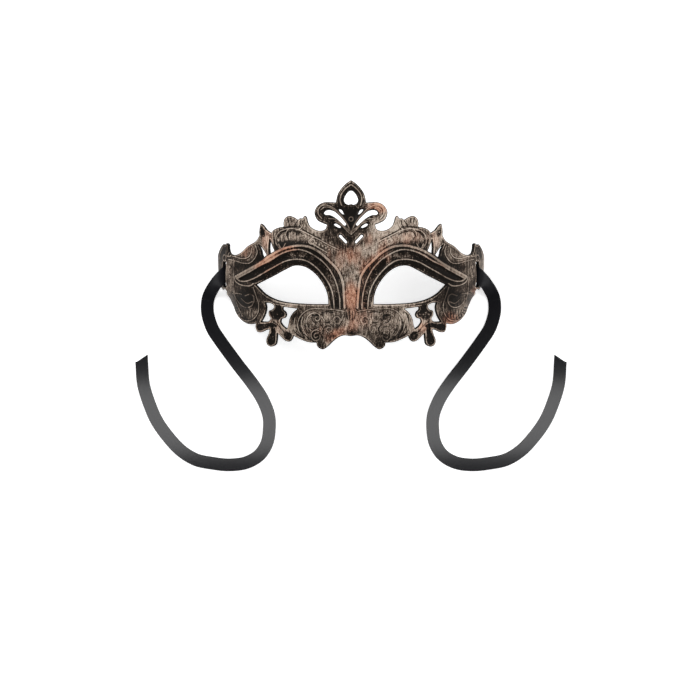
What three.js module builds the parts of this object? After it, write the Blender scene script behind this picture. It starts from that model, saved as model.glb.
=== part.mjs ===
// A pierced half mask of moulded plastic with two flat ribbons, lying on its back: the rear edges of both side
// wings rest on z = 0 and the face looks up along +Z. +X is the wearer's left, which is on the right of a
// picture of the face, and +Y runs up the forehead. The origin is under the middle of the mask.
import * as THREE from 'three';

// Sizes in millimetres
const MASK_WIDTH = 180;
const MASK_DEPTH = 52;
const WALL = 2;
const TOP_SWEEP = 8; // how far the crest's tip leans back
const CHIN_SWEEP = 6; // how far the lower edge leans back
const NOSE_RISE = 11;
const NOSE_HALF = 5.5; // half its width at its root
const NOSE_SPREAD = 8; // how much wider that is at its foot
const NOSE_POWER = 1.3; // how its rise starts: 1 is straight, more is slower
const LINE_RISE = 0.8; // raised tracing lines
const LINE_HALF = 0.85; // half the width of such a line
const PANEL_DEPTH = 0.75; // sunk fields between the lines
const RIBBON_WIDTH = 8.7;
const RIBBON_THICK = 0.5;
const FLOOR_GAP = 0.05; // under the ribbons where they lie flat
const PROFILE_POWER = 2.2; // 2 is an ellipse, more is squarer

// Broad rises of the brow, the cheek and the temple: their height, their middle on the face as the length from
// the middle line and the height, and how far they reach each way
const SWELLINGS = [
  { rise: 2.6, middle: [40, 10.5], reach: [24, 8] },
  { rise: 3.2, middle: [24, -42], reach: [13, 9] },
  { rise: 2, middle: [84, -28], reach: [12, 12] },
];

// Mesh spacing in millimetres
const EDGE_STEP = 2.9;
const EDGE_SAG = 0.12;
const LINE_STEP = 2.6;
const FRONT_STEP = 4.3;
const BACK_STEP = 9;
const LINE_FOOT = 1.6 * LINE_HALF; // where a raised line meets the face
const ROW_TO_EDGE = 0.45 * LINE_HALF; // least distances of points in rows, and of the fill as shares of a step
const ROW_TO_ROW = 0.8 * LINE_HALF;
const FILL_TO_EDGE = 0.5;
const FILL_TO_POINT = 0.75;
const FILL_NUDGE = 0.01; // keeps four points of the fill off one circle

// The design is drawn on one half, in units of which the mask is DRAWN_WIDTH wide: u runs outwards from the
// middle line and v runs up. A list of points is a smooth curve, and where two lists meet is a corner.
const DRAWN_WIDTH = 268;
const UNIT = MASK_WIDTH / DRAWN_WIDTH;
const TOP_V = 84.5;
const CHIN_V = -84.5;
const NOSE_ROOT_V = 22;
const NOSE_RUN = 88; // from the root down, in drawn units, to where the nose is highest
const RIM = DRAWN_WIDTH / 2 + 0.5; // any u beyond the half width lies on the rear rim

// Half the mask's width at the rear rim, as pairs of v and u
const RIM_LINE = [
  [-85, 112], [-60, 115], [-45, 118], [-38, 119.8], [-33, 122], [-28, 126], [-23.5, 129.8],
  [-18, 131.8], [-8, 133.4], [4, 134], [40, 134], [86, 134],
];

const CREST_OUTLINE = [
  [[0, TOP_V], [4.5, 81.5], [9, 77], [13, 71], [15.2, 62]],
  [[15.2, 62], [21, 62.4], [27, 62.2], [33, 59], [36.4, 52.5], [34, 45], [28, 41.5], [24, 40]],
  [[24, 40], [25.5, 35.5], [30, 33.7], [36, 35], [41, 38.7], [43.3, 44], [44.2, 47.7], [46, 49], [48.5, 46]],
  [[48.5, 46], [51, 46.3], [52.7, 44.7]],
];
const FAN_OUTLINE = [
  [[52.7, 44.7], [57, 47.4], [62, 48.8], [66.2, 46], [67.5, 41], [67, 38]],
  [[67, 38], [72, 37.2], [77, 35], [79.5, 32]],
];
const BELL_OUTLINE = [
  [[79.5, 32], [84, 35]],
  [[84, 35], [87.5, 39.5], [90, 41.3], [91.2, 38], [91.8, 33], [91.5, 29.5]],
];
const WING_OUTLINE = [
  [[91.5, 29.5], [95, 24], [103.5, 18.7], [111, 12], [117, 10], [121.5, 11.6], [123.2, 16], [123.6, 20.8],
    [125, 22.2], [126.2, 20]],
  [[126.2, 20], [128.4, 21.2], [132, 16.6], [RIM, 10]],
  [[RIM, 10], [128.9, -24.8]],
  [[128.9, -24.8], [126.5, -24.2], [125, -26.8]],
  [[125, -26.8], [RIM, -29.5]],
  [[RIM, -29.5], [121.6, -35]],
];
const LOBE_OUTLINE = [
  [[121.6, -35], [118.4, -41], [115.5, -48.5], [111, -54.5], [104.5, -58.6], [100, -59.4], [95.7, -58.7]],
];
const PENDANT_OUTLINE = [
  [[95.7, -58.7], [95.8, -62.8], [94, -66.8], [90, -67.4], [85, -65.3], [81.5, -64.5]],
  [[81.5, -64.5], [82.9, -69.5], [85, -75], [84, -79.7], [80, -81.8], [75.4, -79.8], [74, -74], [73.7, -68.3]],
  [[73.7, -68.3], [70.5, -71.5], [65.5, -76], [61, -76.6], [58.2, -73], [57.7, -70.8]],
];
const CHEEK_OUTLINE = [
  [[57.7, -70.8], [52, -73.8], [43, -77.3], [34.5, -78]],
  [[34.5, -78], [33, -81.7], [28.5, CHIN_V], [24, -80.8], [18.5, -75.5], [13, -72], [7, -70.6], [0, -71.5]],
];
const OUTLINE = [
  ...CREST_OUTLINE, ...FAN_OUTLINE, ...BELL_OUTLINE, ...WING_OUTLINE, ...LOBE_OUTLINE, ...PENDANT_OUTLINE,
  ...CHEEK_OUTLINE,
];

// The spade hole lies across the middle line, so it is half of a loop, from its foot to its top.
const SPADE_HOLE = [[0, 60.4], [2.5, 59.8], [5.5, 61], [7, 64], [6.2, 68], [4, 71.7], [2, 73.7], [0, 74.3]];

const EYE_HOLE = [
  [[95.2, -20], [86, -15.5], [76, -10.5], [66, -5.2], [56, -1.2], [46, -2.4], [36, -9], [27, -21], [23.4, -31],
    [22.8, -39.2]],
  [[22.8, -39.2], [41, -39.2], [61, -38], [75, -35], [86, -29.5], [95.2, -20]],
];
const CREST_SLOT = [[
  [27, 51.8], [24.5, 54.4], [18, 54], [12, 49.2], [6.5, 43], [4.8, 40], [6.5, 38.8], [10, 42], [16, 47],
  [21, 49.4], [25.5, 49.8], [27, 51.8],
]];
const CREST_NICK = [[[12, 55.4], [9.6, 55], [7.6, 51.8], [7, 50], [9.2, 51], [11.4, 53.4], [12, 55.4]]];
const CREST_DROP = [[[17, 40], [15.6, 41.2], [12.5, 39.8], [10, 37.4], [11, 36.6], [14.5, 37.8], [17, 40]]];
const NECK_SLOT = [[
  [12.2, 28.8], [10.5, 29.9], [7.5, 27], [4, 22.6], [4.9, 21], [8, 24], [10.9, 26.9], [12.2, 28.8],
]];
const STEM_GAP_OUTER = [
  [[92.2, 20], [89, 17], [86.3, 13], [84.3, 9.7]],
  [[84.3, 9.7], [87.5, 6.8]],
  [[87.5, 6.8], [88.7, 10], [89.8, 15], [92.2, 20]],
];
const STEM_GAP_INNER = [
  [[80.7, 25], [79.5, 21], [78, 17], [76.5, 13.5]],
  [[76.5, 13.5], [81, 11.2]],
  [[81, 11.2], [81.5, 15.5], [81.3, 20.5], [80.7, 25]],
];
const OUTER_GAP = [
  [[85.7, -38], [80.5, -38.5], [77, -41], [78.2, -44.2], [82, -46], [82.4, -50], [80.6, -54], [83, -56.6],
    [90, -56.8]],
  [[90, -56.8], [87.3, -52.5], [85, -46], [84.8, -41.5], [85.7, -38]],
];
const INNER_GAP = [
  [[67.8, -42], [61, -43], [53.5, -44]],
  [[53.5, -44], [58, -47.8], [61.3, -53.5], [62.7, -60], [64, -64]],
  [[64, -64], [67.7, -61], [70.2, -57], [69.3, -54.2], [66, -53.2], [64.5, -50.2], [65.6, -47], [68, -44.8],
    [67.8, -42]],
];
const TEMPLE_SLOT = [
  [[125.2, 3], [126.8, 3.9], [128.2, 3]],
  [[128.2, 3], [128.2, -21]],
  [[128.2, -21], [126.8, -21.9], [125.2, -21]],
  [[125.2, -21], [125.2, 3]],
];
const HOLES = [
  EYE_HOLE, CREST_SLOT, CREST_NICK, CREST_DROP, NECK_SLOT, STEM_GAP_OUTER, STEM_GAP_INNER, OUTER_GAP,
  INNER_GAP, TEMPLE_SLOT,
];

// Raised lines of the brow band, from its outer end over the eye and down beside the nose
const BROW_TOP = [
  [115, -11.5], [101, -4], [91, 1.5], [81, 8.5], [71, 14.2], [61, 17.5], [51, 18.7], [41, 17.2], [31, 12],
  [22, 4], [14, -4.5], [9, -14], [6.7, -30], [6, -43],
];
const BROW_INNER = [
  [114, -13.5], [101, -6.8], [91, -1], [81, 4], [71, 10], [61, 13.8], [51, 14.8], [43, 12.6], [31, 5.4],
  [22, -3.9], [16.5, -13.5], [12.8, -24], [11, -34], [10.6, -44],
];
const BROW_LOWER = [
  [114, -13.5], [111.5, -15.5], [105, -16.3], [96, -13.2], [86, -7.6], [76, -2], [66, 3.2], [56, 5.3],
  [46, 4.3], [38.5, 0.3], [28.7, -9.2], [21.3, -20.6], [17.7, -31], [16.4, -44],
];
const BROW_TAIL = [[116.5, -12], [114.8, -16.5], [109.5, -19.8], [101, -20.8], [97, -18.7]];

const CREST_ARM = [
  [29, 45.8], [32.3, 50], [32.5, 54.8], [28.5, 59], [24, 59], [17, 55.8], [11, 50], [5.5, 43], [2, 36.5],
  [0, 31.5],
];
const CREST_INNER_ARM = [[15.5, 43.6], [11, 41.5], [6.5, 37], [3, 33.5], [0, 31]];
const SPADE_RIM = [[0, 78.5], [4.5, 75], [8.5, 69.8], [9.8, 64], [8.5, 59.5]];
const FAN_LINE = [
  [71.5, 16.5], [74.6, 21.5], [74.3, 28], [71, 32.7], [66, 35], [59, 35.9], [52, 34.6], [45, 31.6],
  [37.5, 27.7], [31, 24.4], [22, 19.4], [12.5, 15],
];
const BEAD_LINE = [[42.5, 22.5], [39.5, 19.8], [35, 18.6], [30, 15.6], [21, 9.2]];
const LEAF_SCROLL = [
  [122.5, 5.8], [115, 4], [108, 1.8], [101, 1.9], [95.7, 7], [93.4, 13.2], [95, 18.6],
];
const STEM_LINE = [[81.8, 28], [83, 20], [82.6, 10.4]];
const TEMPLE_FOLD = [[117, 6], [117, -6], [117.3, -20], [116.5, -29]];
const LOBE_LINE = [
  [97.5, -22.5], [94.5, -31], [92, -40], [93.2, -48.6], [98, -54.4], [105, -55.8], [110.5, -53],
];
const LOBE_CURL = [
  [115.5, -31.5], [112, -37], [108, -41.2], [103, -42.4], [98.6, -39.8], [98.6, -34.6], [102, -31.4],
];
const CHEEK_LINE = [
  [6, -46.8], [16, -45], [31, -44], [41, -44.4], [47.5, -48.3], [51.8, -54], [53, -60.5], [51.6, -66.5],
  [48.5, -71],
];
const CHEEK_CURL = [
  [43.5, -54.5], [41, -50.5], [36, -48.4], [31, -50.2], [30.6, -54.6], [34.4, -56.6], [36.6, -53.4],
];
const CHEEK_SPIRAL = [
  [46, -62.5], [42.5, -70.5], [34.5, -74.3], [28.6, -70.5], [29.8, -64.6], [35.2, -64], [36.8, -68.4],
];
const NOSTRIL_LINE = [[8, -57], [10.4, -62], [16, -68], [23.5, -74.6], [29.5, -78.6]];
const RAISED_LINES = [
  BROW_TOP, BROW_INNER, BROW_LOWER, BROW_TAIL, CREST_ARM, CREST_INNER_ARM, SPADE_RIM, FAN_LINE, BEAD_LINE,
  LEAF_SCROLL, STEM_LINE, TEMPLE_FOLD, LOBE_LINE, LOBE_CURL, CHEEK_LINE, CHEEK_CURL, CHEEK_SPIRAL,
  NOSTRIL_LINE,
];

// Sunk fields
const BELL_FIELD = [[[90, 38], [91, 32.5], [88.8, 27.6], [86.2, 27.4], [85.6, 31.5], [87.4, 35], [90, 38]]];
const CREST_FIELD = [[
  [0, 58.6], [6, 57.6], [7.6, 53.6], [5.8, 48.6], [2.4, 41.5], [0, 35.5],
]];
const QUATREFOIL_FIELD = [[
  [75.3, -42.5], [72.5, -42.4], [70, -43.8], [69.6, -46.4], [67.6, -48.4], [67.4, -50.6], [70.4, -51.4],
  [72.6, -54.4], [76, -55.6], [79.6, -51.8], [80, -48.4], [76.4, -46.4], [75.3, -42.5],
]];
const OUTER_DROP_FIELD = [[[93.4, -62], [92.4, -65], [88.6, -64.8], [85.4, -62.4], [89, -60.4], [93.4, -62]]];
const MIDDLE_DROP_FIELD = [[[79, -68.4], [82.4, -75.2], [80.6, -79.4], [77.2, -78.6], [76.6, -74], [79, -68.4]]];
const INNER_DROP_FIELD = [[[69.6, -67.8], [66.4, -72.6], [62.4, -74.4], [60.4, -72], [64.6, -68.4], [69.6, -67.8]]];
const SUNK_FIELDS = [
  CREST_FIELD, BELL_FIELD, QUATREFOIL_FIELD, OUTER_DROP_FIELD, MIDDLE_DROP_FIELD, INNER_DROP_FIELD,
];
// The channel of the brow band lies between two of its lines.
const CHANNEL_FIELD = [BROW_INNER, [BROW_INNER.at(-1), BROW_LOWER.at(-1)], [...BROW_LOWER].reverse()];

// The ribbon's middle line in plan, from where it is fixed inside the wing to its loose end. It lies further
// from the eye than the face, so it is drawn a little smaller than it is, about the point u 0, EYE_V.
const RIBBON_ROUTE = [
  [114.5, 2.4], [119, -2.6], [124, -8], [130.5, -14.5], [137, -22], [142.5, -32.5], [143.7, -44.5], [142, -54],
  [138, -64.6], [131.2, -75], [114, -98.6], [98.7, -118.4], [88.6, -134], [82.4, -149.8], [81.6, -162.9],
  [84, -178], [91.6, -190], [104.6, -197.5], [121.5, -199.8], [138.8, -198.1], [155, -194.6],
  [169.7, -185.7], [182.2, -172.6], [194, -156], [201.5, -139], [207.5, -119], [209, -100], [209.4, -93.6],
];
const SEEN_SMALLER = 1.008;
const EYE_V = -85;

// The ribbon follows the inner face, rises through the slot and bends down over the wing's rear strip: pairs of
// the distance from the middle plane and the height. Past SHEET_END along its length it comes down to the
// floor: pairs of the length from the fixed end and the height.
const RIBBON_SHEET = [
  [74, 25], [76, 23], [79, 19.6], [81, 17.6], [82.4, 16.6], [83.6, 16.5], [84.8, 17], [86, 18], [87.4, 17.9],
  [89, 16.2], [91, 12.6], [94, 7],
];
const RIBBON_DESCENT = [[12, 17.6], [15, 16.2], [18, 12], [22, 6], [27, 1.4], [32, 0], [40, 0]];
const SHEET_END = 14;
const FLOOR_START = 25;
const RIBBON_END_SLANT = 2.6; // how far the cut end runs ahead at one edge and behind at the other
const LANDED = 34; // from here on it lies flat
const BENT_STEP = 2;
const FLAT_STEP = 7;

// Numbers for the mesh work below
const PROFILE_SAMPLES = 2000;
const CURVE_SAMPLES = 10; // for each span of a drawn curve
const NORMAL_STEP = 0.2;
const NEARLY_SAME = 1e-9;
const ROUND_OFF = 1e-12;
const FAR_AWAY = 3000;
const MOST_SPLITS = 12;

// Curves

function lengthOf([x, y]) {
  return Math.hypot(x, y);
}

function between(p, q) {
  return Math.hypot(p[0] - q[0], p[1] - q[1]);
}

// A centripetal spline through drawn points, as a fine polyline.
function curve(points) {
  if (points.length < 3) return points.map(([u, v]) => [u, v]);
  const first = points[0];
  const last = points.at(-1);
  const closed = between(first, last) < NEARLY_SAME;
  const through = (closed ? points.slice(0, -1) : points).map(([u, v]) => new THREE.Vector3(u, v, 0));
  const spline = new THREE.CatmullRomCurve3(through, closed, 'centripetal');
  return spline.getPoints(CURVE_SAMPLES * (points.length - 1)).map(({ x, y }) => [x, y]);
}

// Drops the points of a polyline that stray less than sag from the chord, and keeps steps under step.
function thin(line, sag, step) {
  const first = line[0];
  const last = line.at(-1);
  let worst = 0;
  let at = Math.floor(line.length / 2);
  line.forEach((p, i) => {
    const off = segmentDistance(p, first, last);
    if (off > worst) {
      worst = off;
      at = i;
    }
  });
  const length = between(first, last);
  if ((worst > sag || length > step) && line.length > 2 && at > 0 && at < line.length - 1) {
    return [...thin(line.slice(0, at + 1), sag, step), ...thin(line.slice(at), sag, step).slice(1)];
  }
  const pieces = Math.max(1, Math.ceil(length / step));
  const steps = Array.from({ length: pieces }, (_, i) => i / pieces);
  return [...steps.map((k) => [first[0] + (last[0] - first[0]) * k, first[1] + (last[1] - first[1]) * k]), last];
}

// Evenly spaced points on a polyline.
function spaced(line, step) {
  const total = line.slice(1).reduce((sum, p, i) => sum + between(p, line[i]), 0);
  const count = Math.max(2, Math.round(total / step));
  const found = [line[0]];
  let gone = 0;
  for (let i = 1; i < line.length; i++) {
    const piece = between(line[i - 1], line[i]);
    while (found.length < count && gone + piece >= (total * found.length) / count) {
      const k = ((total * found.length) / count - gone) / piece;
      found.push([
        line[i - 1][0] + (line[i][0] - line[i - 1][0]) * k,
        line[i - 1][1] + (line[i][1] - line[i - 1][1]) * k,
      ]);
    }
    gone += piece;
  }
  found.push(line.at(-1));
  return found;
}

// A polyline moved sideways, to its left where the distance is positive.
function beside(line, distance) {
  return line.map((p, i) => {
    const before = line[Math.max(0, i - 1)];
    const after = line[Math.min(line.length - 1, i + 1)];
    const along = [after[0] - before[0], after[1] - before[1]];
    const size = lengthOf(along) || 1;
    return [p[0] - (along[1] / size) * distance, p[1] + (along[0] / size) * distance];
  });
}

function segmentDistance([x, y], [x0, y0], [x1, y1]) {
  const dx = x1 - x0;
  const dy = y1 - y0;
  const size = dx * dx + dy * dy;
  const k = size ? Math.min(1, Math.max(0, ((x - x0) * dx + (y - y0) * dy) / size)) : 0;
  return Math.hypot(x - x0 - k * dx, y - y0 - k * dy);
}

function lineDistance(p, line) {
  let least = Infinity;
  for (let i = 1; i < line.length; i++) least = Math.min(least, segmentDistance(p, line[i - 1], line[i]));
  return least;
}

function isInside([x, y], loop) {
  let inside = false;
  for (let i = 0, j = loop.length - 1; i < loop.length; j = i++) {
    const [xi, yi] = loop[i];
    const [xj, yj] = loop[j];
    if (yi > y !== yj > y && x < ((xj - xi) * (y - yi)) / (yj - yi) + xi) inside = !inside;
  }
  return inside;
}

// A smooth curve through pairs of place and value, read at a place.
function read(pairs, place) {
  const last = pairs.length - 1;
  if (place <= pairs[0][0]) return pairs[0][1];
  if (place >= pairs[last][0]) return pairs[last][1];
  const i = pairs.findIndex(([x]) => x > place) - 1;
  const slope = (n) => {
    const [x0, y0] = pairs[Math.max(0, n - 1)];
    const [x1, y1] = pairs[Math.min(last, n + 1)];
    return (y1 - y0) / (x1 - x0);
  };
  const [x0, y0] = pairs[i];
  const [x1, y1] = pairs[i + 1];
  const h = x1 - x0;
  const k = (place - x0) / h;
  return y0 * (1 + 2 * k) * (1 - k) ** 2 + slope(i) * h * k * (1 - k) ** 2
    + y1 * k * k * (3 - 2 * k) + slope(i + 1) * h * k * k * (k - 1);
}

// The curved shell

// Across the face the shell follows a superellipse. Its length from the middle line is tabled, so that the
// pattern can be unrolled: a is that length and y is the height on the face, both in millimetres.
const HALF_WIDTH = MASK_WIDTH / 2;
const profile = Array.from({ length: PROFILE_SAMPLES + 1 }, (_, i) => {
  const turn = (i / PROFILE_SAMPLES) * (Math.PI / 2);
  return { across: Math.sin(turn) ** (2 / PROFILE_POWER), up: Math.cos(turn) ** (2 / PROFILE_POWER), a: 0 };
});
profile.forEach((p, i) => {
  if (i === 0) return;
  const q = profile[i - 1];
  p.a = q.a + Math.hypot((p.across - q.across) * HALF_WIDTH, (p.up - q.up) * MASK_DEPTH);
});
profile[PROFILE_SAMPLES].up = 0;
const UNROLLED = profile[PROFILE_SAMPLES].a;

function profileAt(a) {
  const length = Math.min(UNROLLED, Math.abs(a));
  let low = 0;
  let high = PROFILE_SAMPLES;
  while (high - low > 1) {
    const middle = (low + high) >> 1;
    if (profile[middle].a <= length) low = middle;
    else high = middle;
  }
  const p = profile[low];
  const q = profile[high];
  const k = (length - p.a) / (q.a - p.a);
  return [p.across + (q.across - p.across) * k, p.up + (q.up - p.up) * k];
}

function unroll([u, v]) {
  const across = Math.min(1, Math.abs(u) / read(RIM_LINE, v));
  const turn = (Math.asin(across ** (PROFILE_POWER / 2)) / (Math.PI / 2)) * PROFILE_SAMPLES;
  const low = Math.min(PROFILE_SAMPLES - 1, Math.floor(turn));
  const a = profile[low].a + (profile[low + 1].a - profile[low].a) * (turn - low);
  return [a, v * UNIT];
}

const bell = (offset, reach) => Math.exp(-((offset / reach) ** 2));

// Broad swellings above the plain profile: nose, brow, cheek and temple lobes.
function swelling(a, y) {
  const down = Math.min(1, Math.max(0, (NOSE_ROOT_V - y / UNIT) / NOSE_RUN));
  const nose = NOSE_RISE * down ** NOSE_POWER * bell(a, NOSE_HALF + NOSE_SPREAD * down);
  return SWELLINGS.reduce((sum, { rise, middle, reach }) => (
    sum + rise * bell(a - middle[0], reach[0]) * bell(y - middle[1], reach[1])
  ), nose);
}

function plainPoint(a, y) {
  const v = y / UNIT;
  const sweep = v > 0 ? TOP_SWEEP * (v / TOP_V) ** 2 : CHIN_SWEEP * (v / CHIN_V) ** 2;
  const [across, up] = profileAt(a);
  const x = Math.sign(a) * across * read(RIM_LINE, v) * UNIT;
  return new THREE.Vector3(x, y, (MASK_DEPTH - sweep) * up + swelling(Math.abs(a), y) * up ** 0.5);
}

function outward(a, y) {
  const ahead = Math.min(UNROLLED, a + NORMAL_STEP);
  const acrossStep = plainPoint(ahead, y).sub(plainPoint(a - NORMAL_STEP, y));
  const upStep = plainPoint(a, y + NORMAL_STEP).sub(plainPoint(a, y - NORMAL_STEP));
  return acrossStep.cross(upStep).normalize();
}

// Relief

function unrolledLoop(strokes) {
  return strokes.flatMap((stroke) => curve(stroke).slice(0, -1)).map(unroll);
}

const lines = RAISED_LINES.map((points) => curve(points).map(unroll));
const fields = SUNK_FIELDS.map(unrolledLoop);
const channel = unrolledLoop(CHANNEL_FIELD);

function sunk(p, loop, depth, slope) {
  if (!isInside(p, loop)) return 0;
  const edge = Math.min(1, lineDistance(p, [...loop, loop[0]]) / slope);
  return -depth * edge * edge * (3 - 2 * edge);
}

function relief(p) {
  const nearest = Math.min(...lines.map((line) => lineDistance(p, line)));
  const raised = LINE_RISE * bell(nearest, LINE_HALF);
  const wells = fields.reduce((sum, loop) => sum + sunk(p, loop, PANEL_DEPTH, LINE_HALF), 0);
  return raised + wells + sunk(p, channel, PANEL_DEPTH, 2 * LINE_HALF);
}

// Triangle mesh of the unrolled half

function circumcircle([ax, ay], [bx, by], [cx, cy]) {
  const bx0 = bx - ax;
  const by0 = by - ay;
  const cx0 = cx - ax;
  const cy0 = cy - ay;
  const d = 2 * (bx0 * cy0 - by0 * cx0);
  const b2 = bx0 * bx0 + by0 * by0;
  const c2 = cx0 * cx0 + cy0 * cy0;
  const x = (cy0 * b2 - by0 * c2) / d;
  const y = (bx0 * c2 - cx0 * b2) / d;
  return { x: ax + x, y: ay + y, r2: x * x + y * y };
}

// Delaunay triangles of a set of points, by adding one point after another.
function delaunay(points) {
  const far = FAR_AWAY;
  const all = [...points, [-far, -far], [far, -far], [0, far]];
  const n = points.length;
  const make = (i, j, k) => ({ corners: [i, j, k], circle: circumcircle(all[i], all[j], all[k]) });
  let triangles = [make(n, n + 1, n + 2)];
  for (let p = 0; p < n; p++) {
    const [x, y] = points[p];
    const kept = [];
    const rim = new Map();
    for (const triangle of triangles) {
      const { circle, corners } = triangle;
      if ((x - circle.x) ** 2 + (y - circle.y) ** 2 >= circle.r2 * (1 - ROUND_OFF)) {
        kept.push(triangle);
        continue;
      }
      for (let e = 0; e < 3; e++) {
        const from = corners[e];
        const to = corners[(e + 1) % 3];
        if (!rim.delete(`${to},${from}`)) rim.set(`${from},${to}`, [from, to]);
      }
    }
    for (const [from, to] of rim.values()) kept.push(make(from, to, p));
    triangles = kept;
  }
  return triangles.map(({ corners }) => corners).filter((corners) => corners.every((i) => i < n));
}

// Triangles that hold every edge of the loops. Where an edge is missing, it is split in the middle.
function meshInside(loops, inner) {
  let edges = loops;
  for (let pass = 0; pass < MOST_SPLITS; pass++) {
    const points = [...edges.flat(), ...inner];
    const triangles = delaunay(points);
    const known = new Set(triangles.flatMap(([i, j, k]) => [`${i},${j}`, `${j},${k}`, `${k},${i}`]));
    let start = 0;
    let split = false;
    const finer = edges.map((loop) => {
      const first = start;
      start += loop.length;
      return loop.flatMap((p, i) => {
        const next = (i + 1) % loop.length;
        const [from, to] = [first + i, first + next];
        if (known.has(`${from},${to}`) || known.has(`${to},${from}`)) return [p];
        split = true;
        return [p, [(p[0] + loop[next][0]) / 2, (p[1] + loop[next][1]) / 2]];
      });
    });
    if (!split) {
      const centre = (corners, n) => corners.reduce((sum, i) => sum + points[i][n] / 3, 0);
      const inside = triangles.filter((corners) => isInMask([centre(corners, 0), centre(corners, 1)], edges));
      return { loops: edges, points, triangles: inside };
    }
    edges = finer;
  }
  throw new Error('an outline crosses or touches itself');
}

function isInMask(p, [outer, ...holes]) {
  return isInside(p, outer) && !holes.some((hole) => isInside(p, hole));
}

// The half outline and the middle line make one loop: down the outline, and up the middle past the spade hole.
function halfLoops() {
  const trim = (strokes) => strokes.flatMap((stroke) => (
    thin(curve(stroke).map(unroll), EDGE_SAG, EDGE_STEP).slice(0, -1)
  ));
  const middle = (from, to) => thin([unroll([0, from]), unroll([0, to])], EDGE_SAG, EDGE_STEP).slice(0, -1);
  const chin = OUTLINE.at(-1).at(-1)[1];
  const outer = [
    ...trim(OUTLINE),
    ...middle(chin, SPADE_HOLE[0][1]),
    ...trim([SPADE_HOLE]),
    ...middle(SPADE_HOLE.at(-1)[1], TOP_V),
  ];
  return [outer, ...HOLES.map(trim)];
}

// Inner points: rows along the raised lines and the sunk fields, then an even fill.
function innerPoints(loops, rows, step) {
  const edges = loops.map((loop) => [...loop, loop[0]]);
  const found = [];
  const add = (p, clearEdge, clearPoint) => {
    if (!isInMask(p, loops)) return;
    if (edges.some((edge) => lineDistance(p, edge) < clearEdge)) return;
    if (found.some((q) => between(p, q) < clearPoint)) return;
    found.push(p);
  };
  for (const row of rows) for (const p of row) add(p, ROW_TO_EDGE, ROW_TO_ROW);
  const rise = step * Math.sqrt(0.75);
  const top = TOP_V * UNIT;
  const count = Math.ceil((2 * top) / rise);
  for (let j = 0; j < count; j++) {
    const offset = j % 2 ? step / 2 : 0;
    for (let a = offset + step / 2; a < UNROLLED; a += step) {
      const nudge = FILL_NUDGE * Math.sin(7 * a + 3 * j);
      add([a + nudge, top - (j + 0.5) * rise + nudge], FILL_TO_EDGE * step, FILL_TO_POINT * step);
    }
  }
  return found;
}

function reliefRows() {
  const crests = lines.map((line) => spaced(line, LINE_STEP));
  const feet = [1, -1].flatMap((side) => lines.map((line) => (
    beside(spaced(line, LINE_STEP), side * LINE_FOOT)
  )));
  const wells = fields.map((loop) => spaced([...loop, loop[0]], LINE_STEP));
  const floors = wells.map((row) => beside(row, -LINE_HALF));
  const ceilings = wells.map((row) => beside(row, LINE_HALF));
  return [...crests, ...feet, ...wells, ...floors, ...ceilings];
}

// Mask

// Both halves share the vertices on the middle line, where a is 0.
function buildMask() {
  const front = meshInside(halfLoops(), innerPoints(halfLoops(), reliefRows(), FRONT_STEP));
  const back = meshInside(front.loops, innerPoints(front.loops, [], BACK_STEP));
  const corners = [];
  const place = (p, side, height) => {
    const [a, y] = p;
    const at = plainPoint(a, y).addScaledVector(outward(a, y), height);
    if (a >= UNROLLED - NEARLY_SAME) at.z = 0;
    return [a < NEARLY_SAME ? 0 : side * at.x, at.y, Math.max(0, at.z)];
  };
  const addFace = (points, triangle, side, heights, turned) => {
    const order = turned === side > 0 ? [0, 2, 1] : [0, 1, 2];
    const [i, j, k] = order.map((n) => triangle[n]);
    for (const n of [i, j, k]) corners.push(...place(points[n], side, heights[n]));
  };
  const frontHeights = front.points.map(relief);
  const backHeights = back.points.map(() => -WALL);
  for (const side of [1, -1]) {
    for (const triangle of front.triangles) addFace(front.points, triangle, side, frontHeights, false);
    for (const triangle of back.triangles) addFace(back.points, triangle, side, backHeights, true);
    let start = 0;
    front.loops.forEach((loop, number) => {
      const isHole = number > 0;
      loop.forEach((p, i) => {
        const next = (i + 1) % loop.length;
        const q = loop[next];
        if (p[0] < NEARLY_SAME && q[0] < NEARLY_SAME) return;
        const [hp, hq] = [frontHeights[start + i], frontHeights[start + next]];
        const quad = [place(p, side, hp), place(q, side, hq), place(q, side, -WALL), place(p, side, -WALL)];
        const counterclockwise = side * (isHole ? -1 : 1) * signedArea(loop) > 0;
        for (const k of counterclockwise ? [0, 2, 1, 0, 3, 2] : [0, 1, 2, 0, 2, 3]) corners.push(...quad[k]);
      });
      start += loop.length;
    });
  }
  return solid(corners);
}

function solid(corners) {
  const geometry = new THREE.BufferGeometry();
  geometry.setAttribute('position', new THREE.Float32BufferAttribute(corners, 3));
  geometry.computeVertexNormals();
  return geometry;
}

function signedArea(loop) {
  return loop.reduce((sum, [x, y], i) => {
    const [x1, y1] = loop[(i + 1) % loop.length];
    return sum + (x * y1 - x1 * y) / 2;
  }, 0);
}

// Ribbons

// The section of the ribbon, round its edge: places across its width and through its thickness.
const ACROSS = [-1 / 2, -1 / 6, 1 / 6, 1 / 2].map((k) => k * RIBBON_WIDTH);
const SECTION = [...ACROSS.map((q) => [q, 0]), ...ACROSS.toReversed().map((q) => [q, RIBBON_THICK])];

// The point of a polyline at a length along it.
function pointAt(line, length) {
  let left = Math.max(0, length);
  for (let i = 1; i < line.length; i++) {
    const piece = between(line[i - 1], line[i]);
    if (left <= piece || i === line.length - 1) {
      const k = Math.min(1, left / piece);
      return [0, 1].map((n) => line[i - 1][n] + (line[i][n] - line[i - 1][n]) * k);
    }
    left -= piece;
  }
  return line[0];
}

function smoothStep(from, to, value) {
  const k = Math.min(1, Math.max(0, (value - from) / (to - from)));
  return k * k * (3 - 2 * k);
}

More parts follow.
